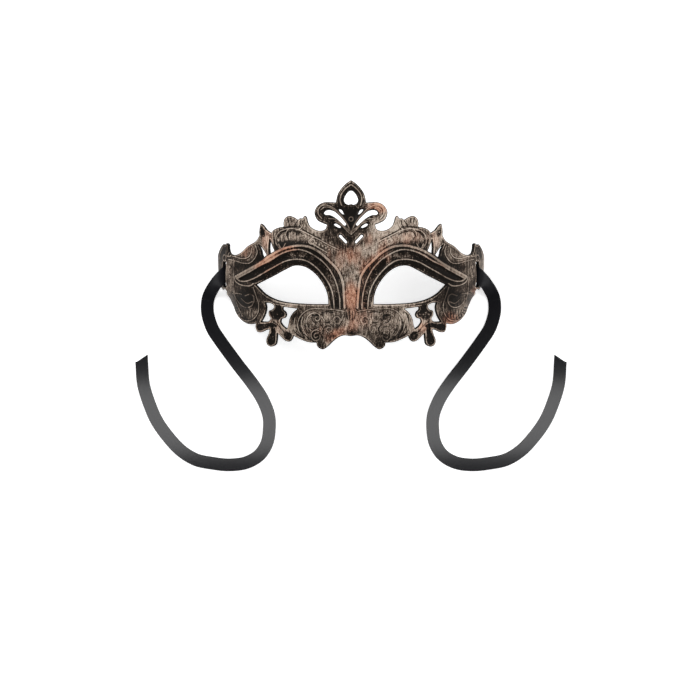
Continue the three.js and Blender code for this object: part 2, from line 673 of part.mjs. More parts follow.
// The height of the ribbon's lower face at a length along it and a distance from the middle plane.
function ribbonHeight(length, x) {
  const down = smoothStep(SHEET_END, FLOOR_START, length);
  return Math.max(0, read(RIBBON_SHEET, x) * (1 - down) + read(RIBBON_DESCENT, length) * down);
}

function buildRibbon(side) {
  const plan = RIBBON_ROUTE.map(([u, v]) => [
    u * UNIT * SEEN_SMALLER,
    (EYE_V + (v - EYE_V) * SEEN_SMALLER) * UNIT,
  ]);
  const route = curve(plan);
  const total = route.slice(1).reduce((sum, p, i) => sum + between(p, route[i]), 0);
  const bent = Array.from({ length: Math.ceil(LANDED / BENT_STEP) }, (_, i) => i * BENT_STEP);
  const flatCount = Math.ceil((total - LANDED) / FLAT_STEP);
  const flat = Array.from({ length: flatCount + 1 }, (_, i) => LANDED + ((total - LANDED) * i) / flatCount);
  const rings = [...bent, ...flat].map((length) => {
    const [x, y] = pointAt(route, length);
    const before = pointAt(route, length - NORMAL_STEP);
    const after = pointAt(route, length + NORMAL_STEP);
    const size = between(before, after);
    const [tx, ty] = [(after[0] - before[0]) / size, (after[1] - before[1]) / size];
    const ahead = length === total ? (2 * RIBBON_END_SLANT) / RIBBON_WIDTH : 0;
    return SECTION.map(([q, h]) => {
      const px = x - ty * q + tx * ahead * q;
      const py = y + tx * q + ty * ahead * q;
      const low = ribbonHeight(length, px);
      const slope = (ribbonHeight(length, px + NORMAL_STEP) - low) / NORMAL_STEP;
      const tilt = Math.hypot(1, slope);
      return [side * (px - (slope * h) / tilt), py, low + FLOOR_GAP + h / tilt];
    });
  });
  const corners = [];
  const face = (...points) => {
    const order = side > 0 ? points : points.reverse();
    for (const point of order) corners.push(...point);
  };
  const count = SECTION.length;
  rings.slice(1).forEach((ring, i) => {
    for (let k = 0; k < count; k++) {
      const next = (k + 1) % count;
      face(rings[i][k], rings[i][next], ring[next]);
      face(rings[i][k], ring[next], ring[k]);
    }
  });
  for (let k = 1; k < count - 1; k++) {
    face(rings[0][0], rings[0][k + 1], rings[0][k]);
    face(rings.at(-1)[0], rings.at(-1)[k], rings.at(-1)[k + 1]);
  }
  return solid(corners);
}

// Assembly

const moulded = new THREE.MeshStandardMaterial({ color: 0x5a4a42, roughness: 0.5, metalness: 0.55 });
const satin = new THREE.MeshStandardMaterial({ color: 0x17181a, roughness: 0.35, metalness: 0 });

function piece(name, geometry, material) {
  const mesh = new THREE.Mesh(geometry, material);
  mesh.name = name;
  return mesh;
}

const eyeMask = new THREE.Group();
eyeMask.add(
  piece('mask', buildMask(), moulded),
  piece('ribbon_right', buildRibbon(1), satin),
  piece('ribbon_left', buildRibbon(-1), satin),
);

export default eyeMask;
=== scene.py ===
"""Looks of a moulded venetian eye mask with two flat satin ribbons.

The mask lies on its back on a pale floor with its face up along +Z, and the camera looks straight down on it.
Sizes are millimetres, and become metres where a mesh or the camera is made. The room's sizes and the places
of its lights are metres.
"""
import logging
import math
from dataclasses import dataclass, field
from enum import Enum
from functools import cached_property

import bpy
import numpy as np
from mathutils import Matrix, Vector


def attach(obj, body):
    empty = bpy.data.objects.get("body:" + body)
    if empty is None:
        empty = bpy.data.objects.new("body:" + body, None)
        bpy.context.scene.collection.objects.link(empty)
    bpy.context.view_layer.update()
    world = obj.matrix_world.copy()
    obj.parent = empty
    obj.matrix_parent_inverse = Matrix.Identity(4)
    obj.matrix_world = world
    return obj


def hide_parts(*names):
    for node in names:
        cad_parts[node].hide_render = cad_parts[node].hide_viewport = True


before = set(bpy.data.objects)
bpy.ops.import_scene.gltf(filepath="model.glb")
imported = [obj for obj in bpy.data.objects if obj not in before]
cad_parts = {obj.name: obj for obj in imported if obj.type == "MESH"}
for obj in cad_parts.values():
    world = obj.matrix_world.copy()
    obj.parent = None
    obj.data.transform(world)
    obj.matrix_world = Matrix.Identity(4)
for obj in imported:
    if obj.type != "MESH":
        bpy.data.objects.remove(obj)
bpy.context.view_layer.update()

MM = 0.001
BODY = "root"

log = logging.getLogger("eye_mask")
Socket = bpy.types.NodeSocket

# The design is drawn on one half, in units of which the mask is DRAWN_WIDTH wide: u runs outwards from the
# middle line and v runs up. A list of points is a smooth curve, and where two lists meet is a corner.
MASK_WIDTH = 180.0
DRAWN_WIDTH = 268.0
UNIT = MASK_WIDTH / DRAWN_WIDTH
TOP_V = 84.5
CHIN_V = -84.5

# Half the mask's width at the rear rim, as pairs of v and u. The outline's points at RIM are just past it, so
# that they unroll to the rim itself.
PAST_RIM = 0.5
RIM = DRAWN_WIDTH / 2 + PAST_RIM
RIM_LINE = [
    [-85, 112], [-60, 115], [-45, 118], [-38, 119.8], [-33, 122], [-28, 126], [-23.5, 129.8], [-18, 131.8],
    [-8, 133.4], [4, 134], [40, 134], [86, 134],
]
# The outline of the right half, from the crest's tip down to the chin
OUTLINE = [
    [[0, TOP_V], [4.5, 81.5], [9, 77], [13, 71], [15.2, 62]],
    [[15.2, 62], [21, 62.4], [27, 62.2], [33, 59], [36.4, 52.5], [34, 45], [28, 41.5], [24, 40]],
    [[24, 40], [25.5, 35.5], [30, 33.7], [36, 35], [41, 38.7], [43.3, 44], [44.2, 47.7], [46, 49],
     [48.5, 46]],
    [[48.5, 46], [51, 46.3], [52.7, 44.7]],
    [[52.7, 44.7], [57, 47.4], [62, 48.8], [66.2, 46], [67.5, 41], [67, 38]],
    [[67, 38], [72, 37.2], [77, 35], [79.5, 32]],
    [[79.5, 32], [84, 35]],
    [[84, 35], [87.5, 39.5], [90, 41.3], [91.2, 38], [91.8, 33], [91.5, 29.5]],
    [[91.5, 29.5], [95, 24], [103.5, 18.7], [111, 12], [117, 10], [121.5, 11.6], [123.2, 16],
     [123.6, 20.8], [125, 22.2], [126.2, 20]],
    [[126.2, 20], [128.4, 21.2], [132, 16.6], [RIM, 10]],
    [[RIM, 10], [128.9, -24.8]],
    [[128.9, -24.8], [126.5, -24.2], [125, -26.8]],
    [[125, -26.8], [RIM, -29.5]],
    [[RIM, -29.5], [121.6, -35]],
    [[121.6, -35], [118.4, -41], [115.5, -48.5], [111, -54.5], [104.5, -58.6], [100, -59.4],
     [95.7, -58.7]],
    [[95.7, -58.7], [95.8, -62.8], [94, -66.8], [90, -67.4], [85, -65.3], [81.5, -64.5]],
    [[81.5, -64.5], [82.9, -69.5], [85, -75], [84, -79.7], [80, -81.8], [75.4, -79.8], [74, -74],
     [73.7, -68.3]],
    [[73.7, -68.3], [70.5, -71.5], [65.5, -76], [61, -76.6], [58.2, -73], [57.7, -70.8]],
    [[57.7, -70.8], [52, -73.8], [43, -77.3], [34.5, -78]],
    [[34.5, -78], [34, -80.9], [31.6, -83.5], [28, CHIN_V], [23.9, -82.2], [18.8, -77], [13, -72.6],
     [7, -70.7], [0, -71.5]],
]
SPADE_HOLE = [
    [[-2.5, 59.8], [0, 60.4], [2.5, 59.8], [5.5, 61], [7, 64], [6.2, 68], [4, 71.7], [2, 73.7], [0, 74.3],
     [-2, 73.7]],
    [[-2, 73.7], [-2.5, 59.8]],
]
EYE_HOLE = [
    [[95.2, -20], [86, -15.5], [76, -10.5], [66, -5.2], [56, -1.2], [46, -2.4], [36, -9], [27, -21],
     [23.4, -31], [22.8, -39.2]],
    [[22.8, -39.2], [41, -39.2], [61, -38], [75, -35], [86, -29.5], [95.2, -20]],
]
# The holes of the crest's right arm, and the other small ones of the right half
CREST_ARM_HOLES = [
    [[[27, 51.8], [24.5, 54.4], [18, 54], [12, 49.2], [6.5, 43], [4.8, 40], [6.5, 38.8], [10, 42],
      [16, 47], [21, 49.4], [25.5, 49.8], [27, 51.8]]],
    [[[12, 55.4], [9.6, 55], [7.6, 51.8], [7, 50], [9.2, 51], [11.4, 53.4], [12, 55.4]]],
    [[[17, 40], [15.6, 41.2], [12.5, 39.8], [10, 37.4], [11, 36.6], [14.5, 37.8], [17, 40]]],
]
SMALL_HOLES = [
    [[[12.2, 28.8], [10.5, 29.9], [7.5, 27], [4, 22.6], [4.9, 21], [8, 24], [10.9, 26.9], [12.2, 28.8]]],
    [[[92.2, 20], [89, 17], [86.3, 13], [84.3, 9.7]], [[84.3, 9.7], [87.5, 6.8]],
     [[87.5, 6.8], [88.7, 10], [89.8, 15], [92.2, 20]]],
    [[[80.7, 25], [79.5, 21], [78, 17], [76.5, 13.5]], [[76.5, 13.5], [81, 11.2]],
     [[81, 11.2], [81.5, 15.5], [81.3, 20.5], [80.7, 25]]],
    [[[85.7, -38], [80.5, -38.5], [77, -41], [78.2, -44.2], [82, -46], [82.4, -50], [80.6, -54],
      [83, -56.6], [90, -56.8]],
     [[90, -56.8], [87.3, -52.5], [85, -46], [84.8, -41.5], [85.7, -38]]],
    [[[67.8, -42], [61, -43], [53.5, -44]], [[53.5, -44], [58, -47.8], [61.3, -53.5], [62.7, -60], [64, -64]],
     [[64, -64], [67.7, -61], [70.2, -57], [69.3, -54.2], [66, -53.2], [64.5, -50.2], [65.6, -47],
      [68, -44.8], [67.8, -42]]],
    [[[125.2, 3], [126.8, 3.9], [128.2, 3]], [[128.2, 3], [128.2, -21]],
     [[128.2, -21], [126.8, -21.9], [125.2, -21]], [[125.2, -21], [125.2, 3]]],
]

# Raised lines of the brow band, from its outer end over the eye and down beside the nose
BROW_TOP = [
    [115, -11.5], [101, -4], [91, 1.5], [81, 8.5], [71, 14.2], [61, 17.5], [51, 18.7], [41, 17.2], [31, 12],
    [22, 4], [14, -4.5], [9, -14], [6.7, -30], [6, -43],
]
BROW_INNER = [
    [114, -13.5], [101, -6.8], [91, -1], [81, 4], [71, 10], [61, 13.8], [51, 14.8], [43, 12.6], [31, 5.4],
    [22, -3.9], [16.5, -13.5], [12.8, -24], [11, -34], [10.6, -44],
]
BROW_LOWER = [
    [114, -13.5], [111.5, -15.5], [105, -16.3], [96, -13.2], [86, -7.6], [76, -2], [66, 3.2], [56, 5.3],
    [46, 4.3], [38.5, 0.3], [28.7, -9.2], [21.3, -20.6], [17.7, -31], [16.4, -44],
]
BROW_TAIL = [[116.5, -12], [114.8, -16.5], [109.5, -19.8], [101, -20.8], [97, -18.7]]
# The lower edge of the lid: the eye hole's upper edge, led past both its corners
LID_LINE = [[97, -18.7], *EYE_HOLE[0][1:-1], [19, -44]]
# Raised lines of the crest, the cheek and the side
CREST_ARM = [
    [29, 45.8], [32.3, 50], [32.5, 54.8], [28.5, 59], [24, 59], [17, 55.8], [11, 50], [5.5, 43], [2, 36.5],
]
FAN_LINE = [
    [71.5, 16.5], [74.6, 21.5], [74.3, 28], [71, 32.7], [66, 35], [59, 35.9], [52, 34.6], [45, 31.6],
    [37.5, 27.7], [31, 24.4], [22, 19.4], [12.5, 15],
]
LEAF_SCROLL = [[122.5, 5.8], [115, 4], [108, 1.8], [101, 1.9], [95.7, 7], [93.4, 13.2], [95, 18.6]]
LOBE_LINE = [[97.5, -22.5], [94.5, -31], [92, -40], [93.2, -48.6], [98, -54.4], [105, -55.8], [110.5, -53]]
CHEEK_LINE = [
    [6, -46.8], [16, -45], [31, -44], [41, -44.4], [47.5, -48.3], [51.8, -54], [53, -60.5], [51.6, -66.5],
    [48.5, -71],
]
# The lines that are as bold as the brow's
BOLD_LINES = [
    BROW_INNER, BROW_LOWER, BROW_TAIL, CREST_ARM,
    [[0, 79.6], [5, 76], [9.4, 70.4], [10.9, 64], [9.4, 59]],
]

# Thin lines between the bold ones: scrolls, veins of the leaves and curls of the cheek and the side
THIN_LINES = [
    FAN_LINE, LEAF_SCROLL, LOBE_LINE, CHEEK_LINE,
    [[38.2, 26.9], [41, 24.6], [41.9, 22.2], [40.6, 20.6], [37.3, 19.9], [33.5, 17.5], [29.3, 15.2],
     [24, 12]],
    [[81.8, 28], [83, 20], [82.6, 10.4]],
    [[116.5, -30], [113, -36], [109, -40.5], [104.4, -42.4], [100, -41.4], [97.3, -38.2], [96.6, -34],
     [97.6, -30.2]],
    [[44.1, -57.5], [43.3, -52.7], [40.7, -49.7], [37.4, -48.3], [33.4, -48.6], [30.9, -50.8], [30.8, -54],
     [33, -56], [35.4, -55], [35.4, -52.6], [33.4, -52]],
    [[17.8, -57], [16.8, -53.2], [13.6, -51.8], [10.8, -54], [11, -57.6], [14, -59], [15.8, -57],
     [14.4, -55.4]],
    [[26, -61], [22.8, -59.4], [19.4, -61.2], [18.6, -64.8], [21.2, -67.2], [24.2, -65.6], [23.8, -63],
     [21.8, -62.8]],
    [[31, -66.2], [34.6, -64.8], [38.6, -67], [39.5, -71.4], [36.8, -75], [32.6, -74.8], [30.6, -71.6],
     [32, -68.4], [35, -68.2], [36.8, -70.6], [35.2, -72.6], [33.4, -71.6]],
    [[48, -52.6], [49.2, -57], [48.4, -62], [46.2, -67], [43.6, -71]],
    [[44.4, -59.6], [42.6, -63], [39.8, -65.4]], [[28.6, -52.4], [26.2, -57], [27.4, -62], [29.6, -66]],
    [[117, 6], [117, -6], [117.3, -20], [116.5, -29]],
    [[65.3, 20.8], [67.1, 17.5], [68.5, 15.7], [70.4, 17.5], [71.8, 20.3]],
    [[62.8, 34.6], [64.6, 32.4], [65.2, 29.4]],
    [[117.3, -26.7], [114.8, -36], [112.2, -43.5], [108.2, -51.5]],
    [[118.6, -28.4], [114, -28], [109.3, -29]], [[105.8, -30.7], [100.1, -29], [97.2, -31.3]],
    [[109.3, -33.6], [103.5, -38.2], [98.2, -36.6]], [[7.6, -50.6], [9.8, -56.6], [12.2, -60.4]],
    [[55.8, -53.4], [56.8, -60], [55.6, -66.6]], [[122.4, 20], [121.4, 15], [123, 9.6]],
    [[128.6, 17.6], [131, 12.4], [131.6, 6]], [[118.8, 12.6], [120.8, 8.6], [124.4, 9.6], [124.8, 14.4]],
    [[98.9, 16.4], [99.7, 11.2], [103, 7.4], [109, 6.4], [116, 8.4]],
    [[47, 42.6], [48.6, 38.2], [50.8, 35.6]], [[78, 33.6], [78.4, 27.6], [77.4, 21]],
    [[30, 54.4], [26.4, 57.2], [20.5, 56.4], [12.5, 50.4], [7.4, 44.8], [3.6, 39.6], [1.2, 35.6]],
    [[22, 45.8], [15, 44.8], [9.8, 41], [5.5, 36.8], [1.2, 33.6]], [[2, 36.5], [0.6, 33], [0, 30.6]],
    [[15.5, 42.6], [11, 40.4], [6.5, 36], [3, 32.4], [0, 29.8]],
]

# Small rings, as the centre's u and v and the radius, and beads, as the centre's u and v
RINGS = [
    [0, 45.4, 2.1], [38, 22.9, 1.9], [126.6, 7.2, 3.2], [121.3, -11.2, 1.1], [121.3, -1.8, 1.0],
]
BEADS = [[34.6, 21.4], [31.4, 19.9], [28.2, 18.3], [25, 16.6], [21.8, 14.9]]

# Cut lines: shallow grooves, dark with the wash that lies in them and, where they run inside the cheek's
# curls, with painted shadow
CUT_LINES = [
    [[59, 33.8], [61.8, 32.6], [63.5, 30.2], [63.6, 27.8], [62.2, 25.4]],
    [[53.1, 43.7], [55, 40.9], [56.4, 38.1]], [[50, 44], [50.6, 40], [52.5, 37.4]],
    [[30, 25.4], [34, 27.4], [38.2, 29.3], [42.9, 31.9], [46.6, 34.2], [50.3, 36.9]],
    [[50.5, 37.2], [56, 37.8], [62, 37.7], [67, 37]], [[72.4, 27], [70.6, 30.2], [67.6, 32.6], [64.6, 33.4]],
    [[57.6, 33.6], [52, 32.4], [47.6, 30]], [[55.6, 33.2], [54.4, 31.4], [54.1, 29.6]],
    [[68.5, 19.5], [68.6, 17.6]], [[50.6, -54], [50.9, -59.6], [49.8, -64.6], [47.4, -69.8]],
    [[46.4, -60.4], [44.8, -65], [42, -69]], [[38.6, -50.4], [34.6, -50.8], [32.6, -53.2]],
    [[39.4, -52.6], [37.4, -56.8], [33.6, -58.2]], [[29, -47.6], [24, -46.9], [18, -47.8]],
    [[26.6, -57.4], [24.4, -57.6], [21.4, -57.6]], [[30, -60], [27.6, -64], [28.6, -69]],
    [[35.8, -61.8], [32, -62.4]], [[44, -72.4], [40.6, -74.6], [36.8, -76.6]],
    [[77, -56.5], [72, -61.4], [66.4, -67.4]], [[77.6, -57.6], [79, -64], [79.4, -69]],
    [[80, -60], [85, -62]], [[54.2, -47.6], [57, -53], [57.8, -59]], [[57, -65.4], [53, -70], [47, -73.6]],
    [[54.6, -62], [51.4, -68], [46.6, -72.4]], [[52.6, -57], [51.6, -63.6], [48, -68.6], [43.4, -71.4]],
    [[1.4, -46.5], [1.2, -55]], [[4.4, -47.5], [3.6, -54]], [[64, -40.6], [80, -36.6], [90, -28.6]],
]
# Rows of short upright cuts, as the first and last u, their number, their lower and upper v and their lean
FLUTES = [
    [59.4, 62.4, 2, 42.4, 46, 0.6], [25, 31, 3, -83, -79, 0.4],
    [100, 111, 5, -52.5, -44.5, -0.6], [96, 108, 5, -1.5, 1.0, 0.8],
]
# Rows of short cuts that point at a centre, as its u and v, two radii, two turns in degrees and their number
SUNBURSTS = [[101, -40, 12.5, 16, -70, -10, 6]]

# Sunk fields, as closed lines: the crest's middle, and the leaf beside the brow's outer end
SUNK_FIELDS = [
    [[0, 58.6], [6, 57.6], [7.6, 53.6], [5.8, 48.6], [2.4, 41.5], [0, 35.5], [-6, 48], [0, 58.6]],
    [[90, 38], [91, 32.5], [88.8, 27.6], [86.2, 27.4], [85.6, 31.5], [87.4, 35], [90, 38]],
]


def short_cuts() -> list[list[list[float]]]:
    """Draws the short cuts, straight and evenly spaced.

    Returns:
        The flutes, which stand upright and lean a little, and the sunbursts, which run along radii.
    """
    found = []
    for first, last, count, low, high, lean in FLUTES:
        found += [[[u, low], [u + lean, high]] for u in np.linspace(first, last, count)]
    for u, v, inner, outer, start, end, count in SUNBURSTS:
        for turn in np.radians(np.linspace(start, end, count)):
            along = np.array([math.cos(turn), math.sin(turn)])
            found.append([[u, v] + inner * along, [u, v] + outer * along])
    return found


def bell(offset: np.ndarray, reach: float | np.ndarray) -> np.ndarray:
    """Returns 1 at no offset, falling off as the exponential of minus the square of offset over reach."""
    return np.exp(-((offset / reach) ** 2))


def smooth_step(start: float, end: float, value: np.ndarray) -> np.ndarray:
    """Returns 0 at start and 1 at end, as 3 k squared minus 2 k cubed in between."""
    k = np.clip((value - start) / (end - start), 0, 1)
    return k * k * (3 - 2 * k)


def read_pairs(pairs: list[list[float]], places: np.ndarray) -> np.ndarray:
    """Reads a smooth curve through pairs of place and value.

    Between two pairs it is the cubic that has their values, and at each the slope from the pair before it to
    the pair after it.

    Args:
        pairs: Places in rising order with their values.
        places: Where to read the curve.

    Returns:
        The values, which stay at the first and the last beyond the ends.
    """
    x, y = np.array(pairs, float).T
    last = len(x) - 1
    ahead, behind = np.minimum(np.arange(last + 1) + 1, last), np.maximum(np.arange(last + 1) - 1, 0)
    slope = (y[ahead] - y[behind]) / (x[ahead] - x[behind])
    inside = np.clip(places, x[0], x[-1])
    i = np.clip(np.searchsorted(x, inside, side="right") - 1, 0, last - 1)
    h = x[i + 1] - x[i]
    k = (inside - x[i]) / h
    return (
        y[i] * (1 + 2 * k) * (1 - k) ** 2 + slope[i] * h * k * (1 - k) ** 2
        + y[i + 1] * k * k * (3 - 2 * k) + slope[i + 1] * h * k * k * (k - 1)
    )


def spline(points: list[list[float]] | np.ndarray, samples: int = 10) -> np.ndarray:
    """Returns a centripetal spline through points as a fine polyline.

    Each span is the cubic whose end slopes are weighted by the square roots of the distances to the points
    beside it. It is closed where the last point is the first, and two points stay a straight line.

    Args:
        points: Points of two numbers.
        samples: Steps in each span.

    Returns:
        An array of points of two numbers.
    """
    knots = np.array(points, float)
    if len(knots) < 3:
        return knots
    if np.allclose(knots[0], knots[-1]):
        ring = knots[:-1]
        padded = np.vstack([ring[-1:], ring, ring[:2]])
    else:
        padded = np.vstack([2 * knots[0] - knots[1], knots, 2 * knots[-1] - knots[-2]])
    p0, p1, p2, p3 = padded[:-3, None], padded[1:-2, None], padded[2:-1, None], padded[3:, None]
    pairs = (p0, p1), (p1, p2), (p2, p3)
    d0, d1, d2 = (np.sqrt(np.linalg.norm(end - start, axis=2, keepdims=True)) for start, end in pairs)
    leave = ((p1 - p0) / d0 - (p2 - p0) / (d0 + d1) + (p2 - p1) / d1) * d1
    arrive = ((p2 - p1) / d1 - (p3 - p1) / (d1 + d2) + (p3 - p2) / d2) * d1
    k = (np.arange(samples) / samples)[None, :, None]
    spans = (
        p1 + leave * k + (3 * (p2 - p1) - 2 * leave - arrive) * k**2
        + (2 * (p1 - p2) + leave + arrive) * k**3
    )
    return np.vstack([spans.reshape(-1, 2), knots[-1]])


def offset_from_line(places: np.ndarray, line: np.ndarray, reach: float) -> np.ndarray:
    """Measures how far each place is from a polyline.

    For each of its segments the nearest point is the place's projection, kept between the two ends, and the
    side is the sign of the cross product. Only places within reach of the line's box are measured.

    Args:
        places: Points of two numbers.
        line: The polyline's points.
        reach: The greatest distance that counts.

    Returns:
        The distances, at most reach, and less than nought on the line's right.
    """
    found = np.full(len(places), reach)
    low, high = line.min(0) - reach, line.max(0) + reach
    near = np.flatnonzero(((places > low) & (places < high)).all(1))
    spots = places[near]
    least, side = np.full(len(near), reach**2), np.ones(len(near))
    for start, end in zip(line[:-1], line[1:]):
        along = end - start
        size = along @ along
        if size == 0:
            continue
        away = spots - start
        k = np.clip((away @ along) / size, 0, 1)
        gap = ((away - k[:, None] * along) ** 2).sum(1)
        closer = gap < least
        least[closer] = gap[closer]
        side[closer] = np.where(away[closer] @ np.array([-along[1], along[0]]) < 0, -1, 1)
    found[near] = np.sqrt(least) * side
    return found


def distance_to_loop(places: np.ndarray, loop: np.ndarray, reach: float) -> np.ndarray:
    """Returns how far each place is from a polyline that ends where it starts, at most reach."""
    return np.abs(offset_from_line(places, np.vstack([loop, loop[:1]]), reach))


def least_offset(offsets: list[np.ndarray]) -> np.ndarray:
    """Returns at each place the offset that is nearest to nought."""
    stack = np.array(offsets)
    return np.take_along_axis(stack, np.abs(stack).argmin(0)[None], 0)[0]


def is_inside(places: np.ndarray, loop: np.ndarray) -> np.ndarray:
    """Tells which places lie in a closed loop: those with an odd number of its edges to their right.

    Args:
        places: Points of two numbers.
        loop: The loop's points, the first of which follows the last.

    Returns:
        True for each place that is inside.
    """
    inside = np.zeros(len(places), bool)
    x, y = places.T
    for (x0, y0), (x1, y1) in zip(loop, np.roll(loop, -1, axis=0)):
        if y0 != y1:
            inside ^= ((y0 > y) != (y1 > y)) & (x < (x1 - x0) * (y - y0) / (y1 - y0) + x0)
    return inside


@dataclass(frozen=True)
class Swelling:
    """A broad rise of the sheet about its middle at (a, y), in millimetres."""

    rise: float
    a: float
    y: float
    across: float
    upward: float

    def height(self, a: np.ndarray, y: np.ndarray) -> np.ndarray:
        """The rise at places on the sheet: a bell across times a bell upward."""
        return self.rise * bell(a - self.a, self.across) * bell(y - self.y, self.upward)


@dataclass(frozen=True)
class Shell:
    """The curved sheet that the mask is moulded to, measured along it.

    A place on it is a, the length from the middle line along the sheet, and y, the height on the face.
    """

    width: float = MASK_WIDTH
    depth: float = 52.0
    wall: float = 2.0
    top_sweep: float = 8.0
    chin_sweep: float = 6.0
    nose_rise: float = 11.0
    nose_start: float = 22.0
    nose_run: float = 88.0
    nose_power: float = 1.3
    nose_narrow: float = 5.5
    nose_spread: float = 8.0
    brow: Swelling = Swelling(2.6, 40.0, 10.5, 24.0, 8.0)
    cheek: Swelling = Swelling(3.2, 24.0, -42.0, 13.0, 9.0)
    temple: Swelling = Swelling(2.0, 84.0, -28.0, 12.0, 12.0)
    profile_power: float = 2.2
    profile_samples: int = 2000
    step: float = 0.2
    rounding: float = 1e-6

    @cached_property
    def profile(self) -> tuple[np.ndarray, np.ndarray, np.ndarray]:
        """The cross section, a superellipse.

        Across is the sine and up the cosine of a turn, each to the power of 2 over the profile power.

        Returns:
            Its points' shares across and up, and their lengths along it.
        """
        turn = np.linspace(0, math.pi / 2, self.profile_samples + 1)
        across = np.sin(turn) ** (2 / self.profile_power)
        up = np.maximum(np.cos(turn), 0) ** (2 / self.profile_power)
        steps = np.hypot(np.diff(across) * self.width / 2, np.diff(up) * self.depth)
        up[-1] = 0
        return across, up, np.concatenate([[0], np.cumsum(steps)])

    @property
    def unrolled(self) -> float:
        """The length of the section from the middle line to the rear rim."""
        return float(self.profile[2][-1])

    def on_rim(self, a: np.ndarray) -> np.ndarray:
        """Tells which lengths along the sheet reach the rear rim."""
        return a >= self.unrolled - self.rounding

    def unroll(self, drawn: np.ndarray) -> np.ndarray:
        """Lays the drawing on the sheet, so that the front view shows it as it is drawn.

        The share of u in the rim's half width, to the power of half the profile power, is the sine of the
        section's turn, at which the section's length is read.

        Args:
            drawn: Drawn places (u, v).

        Returns:
            Places on the sheet (a, y).
        """
        u, v = drawn.T
        across = np.minimum(1, np.abs(u) / read_pairs(RIM_LINE, v))
        turn = np.arcsin(across ** (self.profile_power / 2)) / (math.pi / 2) * self.profile_samples
        a = np.interp(turn, np.arange(self.profile_samples + 1), self.profile[2])
        return np.column_stack([a * np.sign(u + (u == 0)), v * UNIT])

    def swelling(self, a: np.ndarray, y: np.ndarray) -> np.ndarray:
        """Adds up the broad rises of nose, brow, cheek and temple.

        The nose grows and widens from its root down. It is a bell across, times the drop below the root as
        a share of its run, to the nose power.

        Args:
            a: Lengths from the middle line along the sheet, not less than nought.
            y: Heights on the face.

        Returns:
            The rises in millimetres.
        """
        down = np.clip((self.nose_start - y / UNIT) / self.nose_run, 0, 1)
        nose = self.nose_rise * down**self.nose_power * bell(a, self.nose_narrow + self.nose_spread * down)
        return nose + self.brow.height(a, y) + self.cheek.height(a, y) + self.temple.height(a, y)

    def points(self, a: np.ndarray, y: np.ndarray) -> np.ndarray:
        """Works out points of the plain sheet.

        Each is a point of the section, scaled to the rim's width and to the depth less a sweep that grows
        with the square of the height on the face. The swelling counts by the root of the share up.

        Args:
            a: Lengths from the middle line along the sheet, less than nought on the left.
            y: Heights on the face.

        Returns:
            The points in millimetres.
        """
        v = y / UNIT
        sweep = np.where(v > 0, self.top_sweep * (v / TOP_V) ** 2, self.chin_sweep * (v / CHIN_V) ** 2)
        across_table, up_table, length = self.profile
        out = np.minimum(np.abs(a), self.unrolled)
        across = np.interp(out, length, across_table)
        up = np.interp(out, length, up_table)
        x = np.sign(a) * across * read_pairs(RIM_LINE, v) * UNIT
        z = (self.depth - sweep) * up + self.swelling(np.abs(a), y) * np.sqrt(up)
        return np.column_stack([x, y, z])

    def normals(self, a: np.ndarray, y: np.ndarray) -> np.ndarray:
        """Works out outward normals, as the cross product of small steps along a and along y.

        Args:
            a: Lengths from the middle line along the sheet.
            y: Heights on the face.

        Returns:
            The normals, each of length 1.
        """
        ahead = np.minimum(self.unrolled, a + self.step)
        across = self.points(ahead, y) - self.points(a - self.step, y)
        upward = self.points(a, y + self.step) - self.points(a, y - self.step)
        normal = np.cross(across, upward)
        return normal / np.linalg.norm(normal, axis=1, keepdims=True)


@dataclass(frozen=True)
class Net:
    """A flat triangle net of the unrolled half, with a fine and a coarse set of triangles."""

    places: np.ndarray
    fine: np.ndarray
    coarse: np.ndarray
    rim_edges: np.ndarray


def faces_of(chosen: np.ndarray, *corners: np.ndarray) -> np.ndarray:
    """Returns a face for each chosen square: a row of the numbers that the corners' grids have there."""
    return np.column_stack([corner[chosen] for corner in corners])


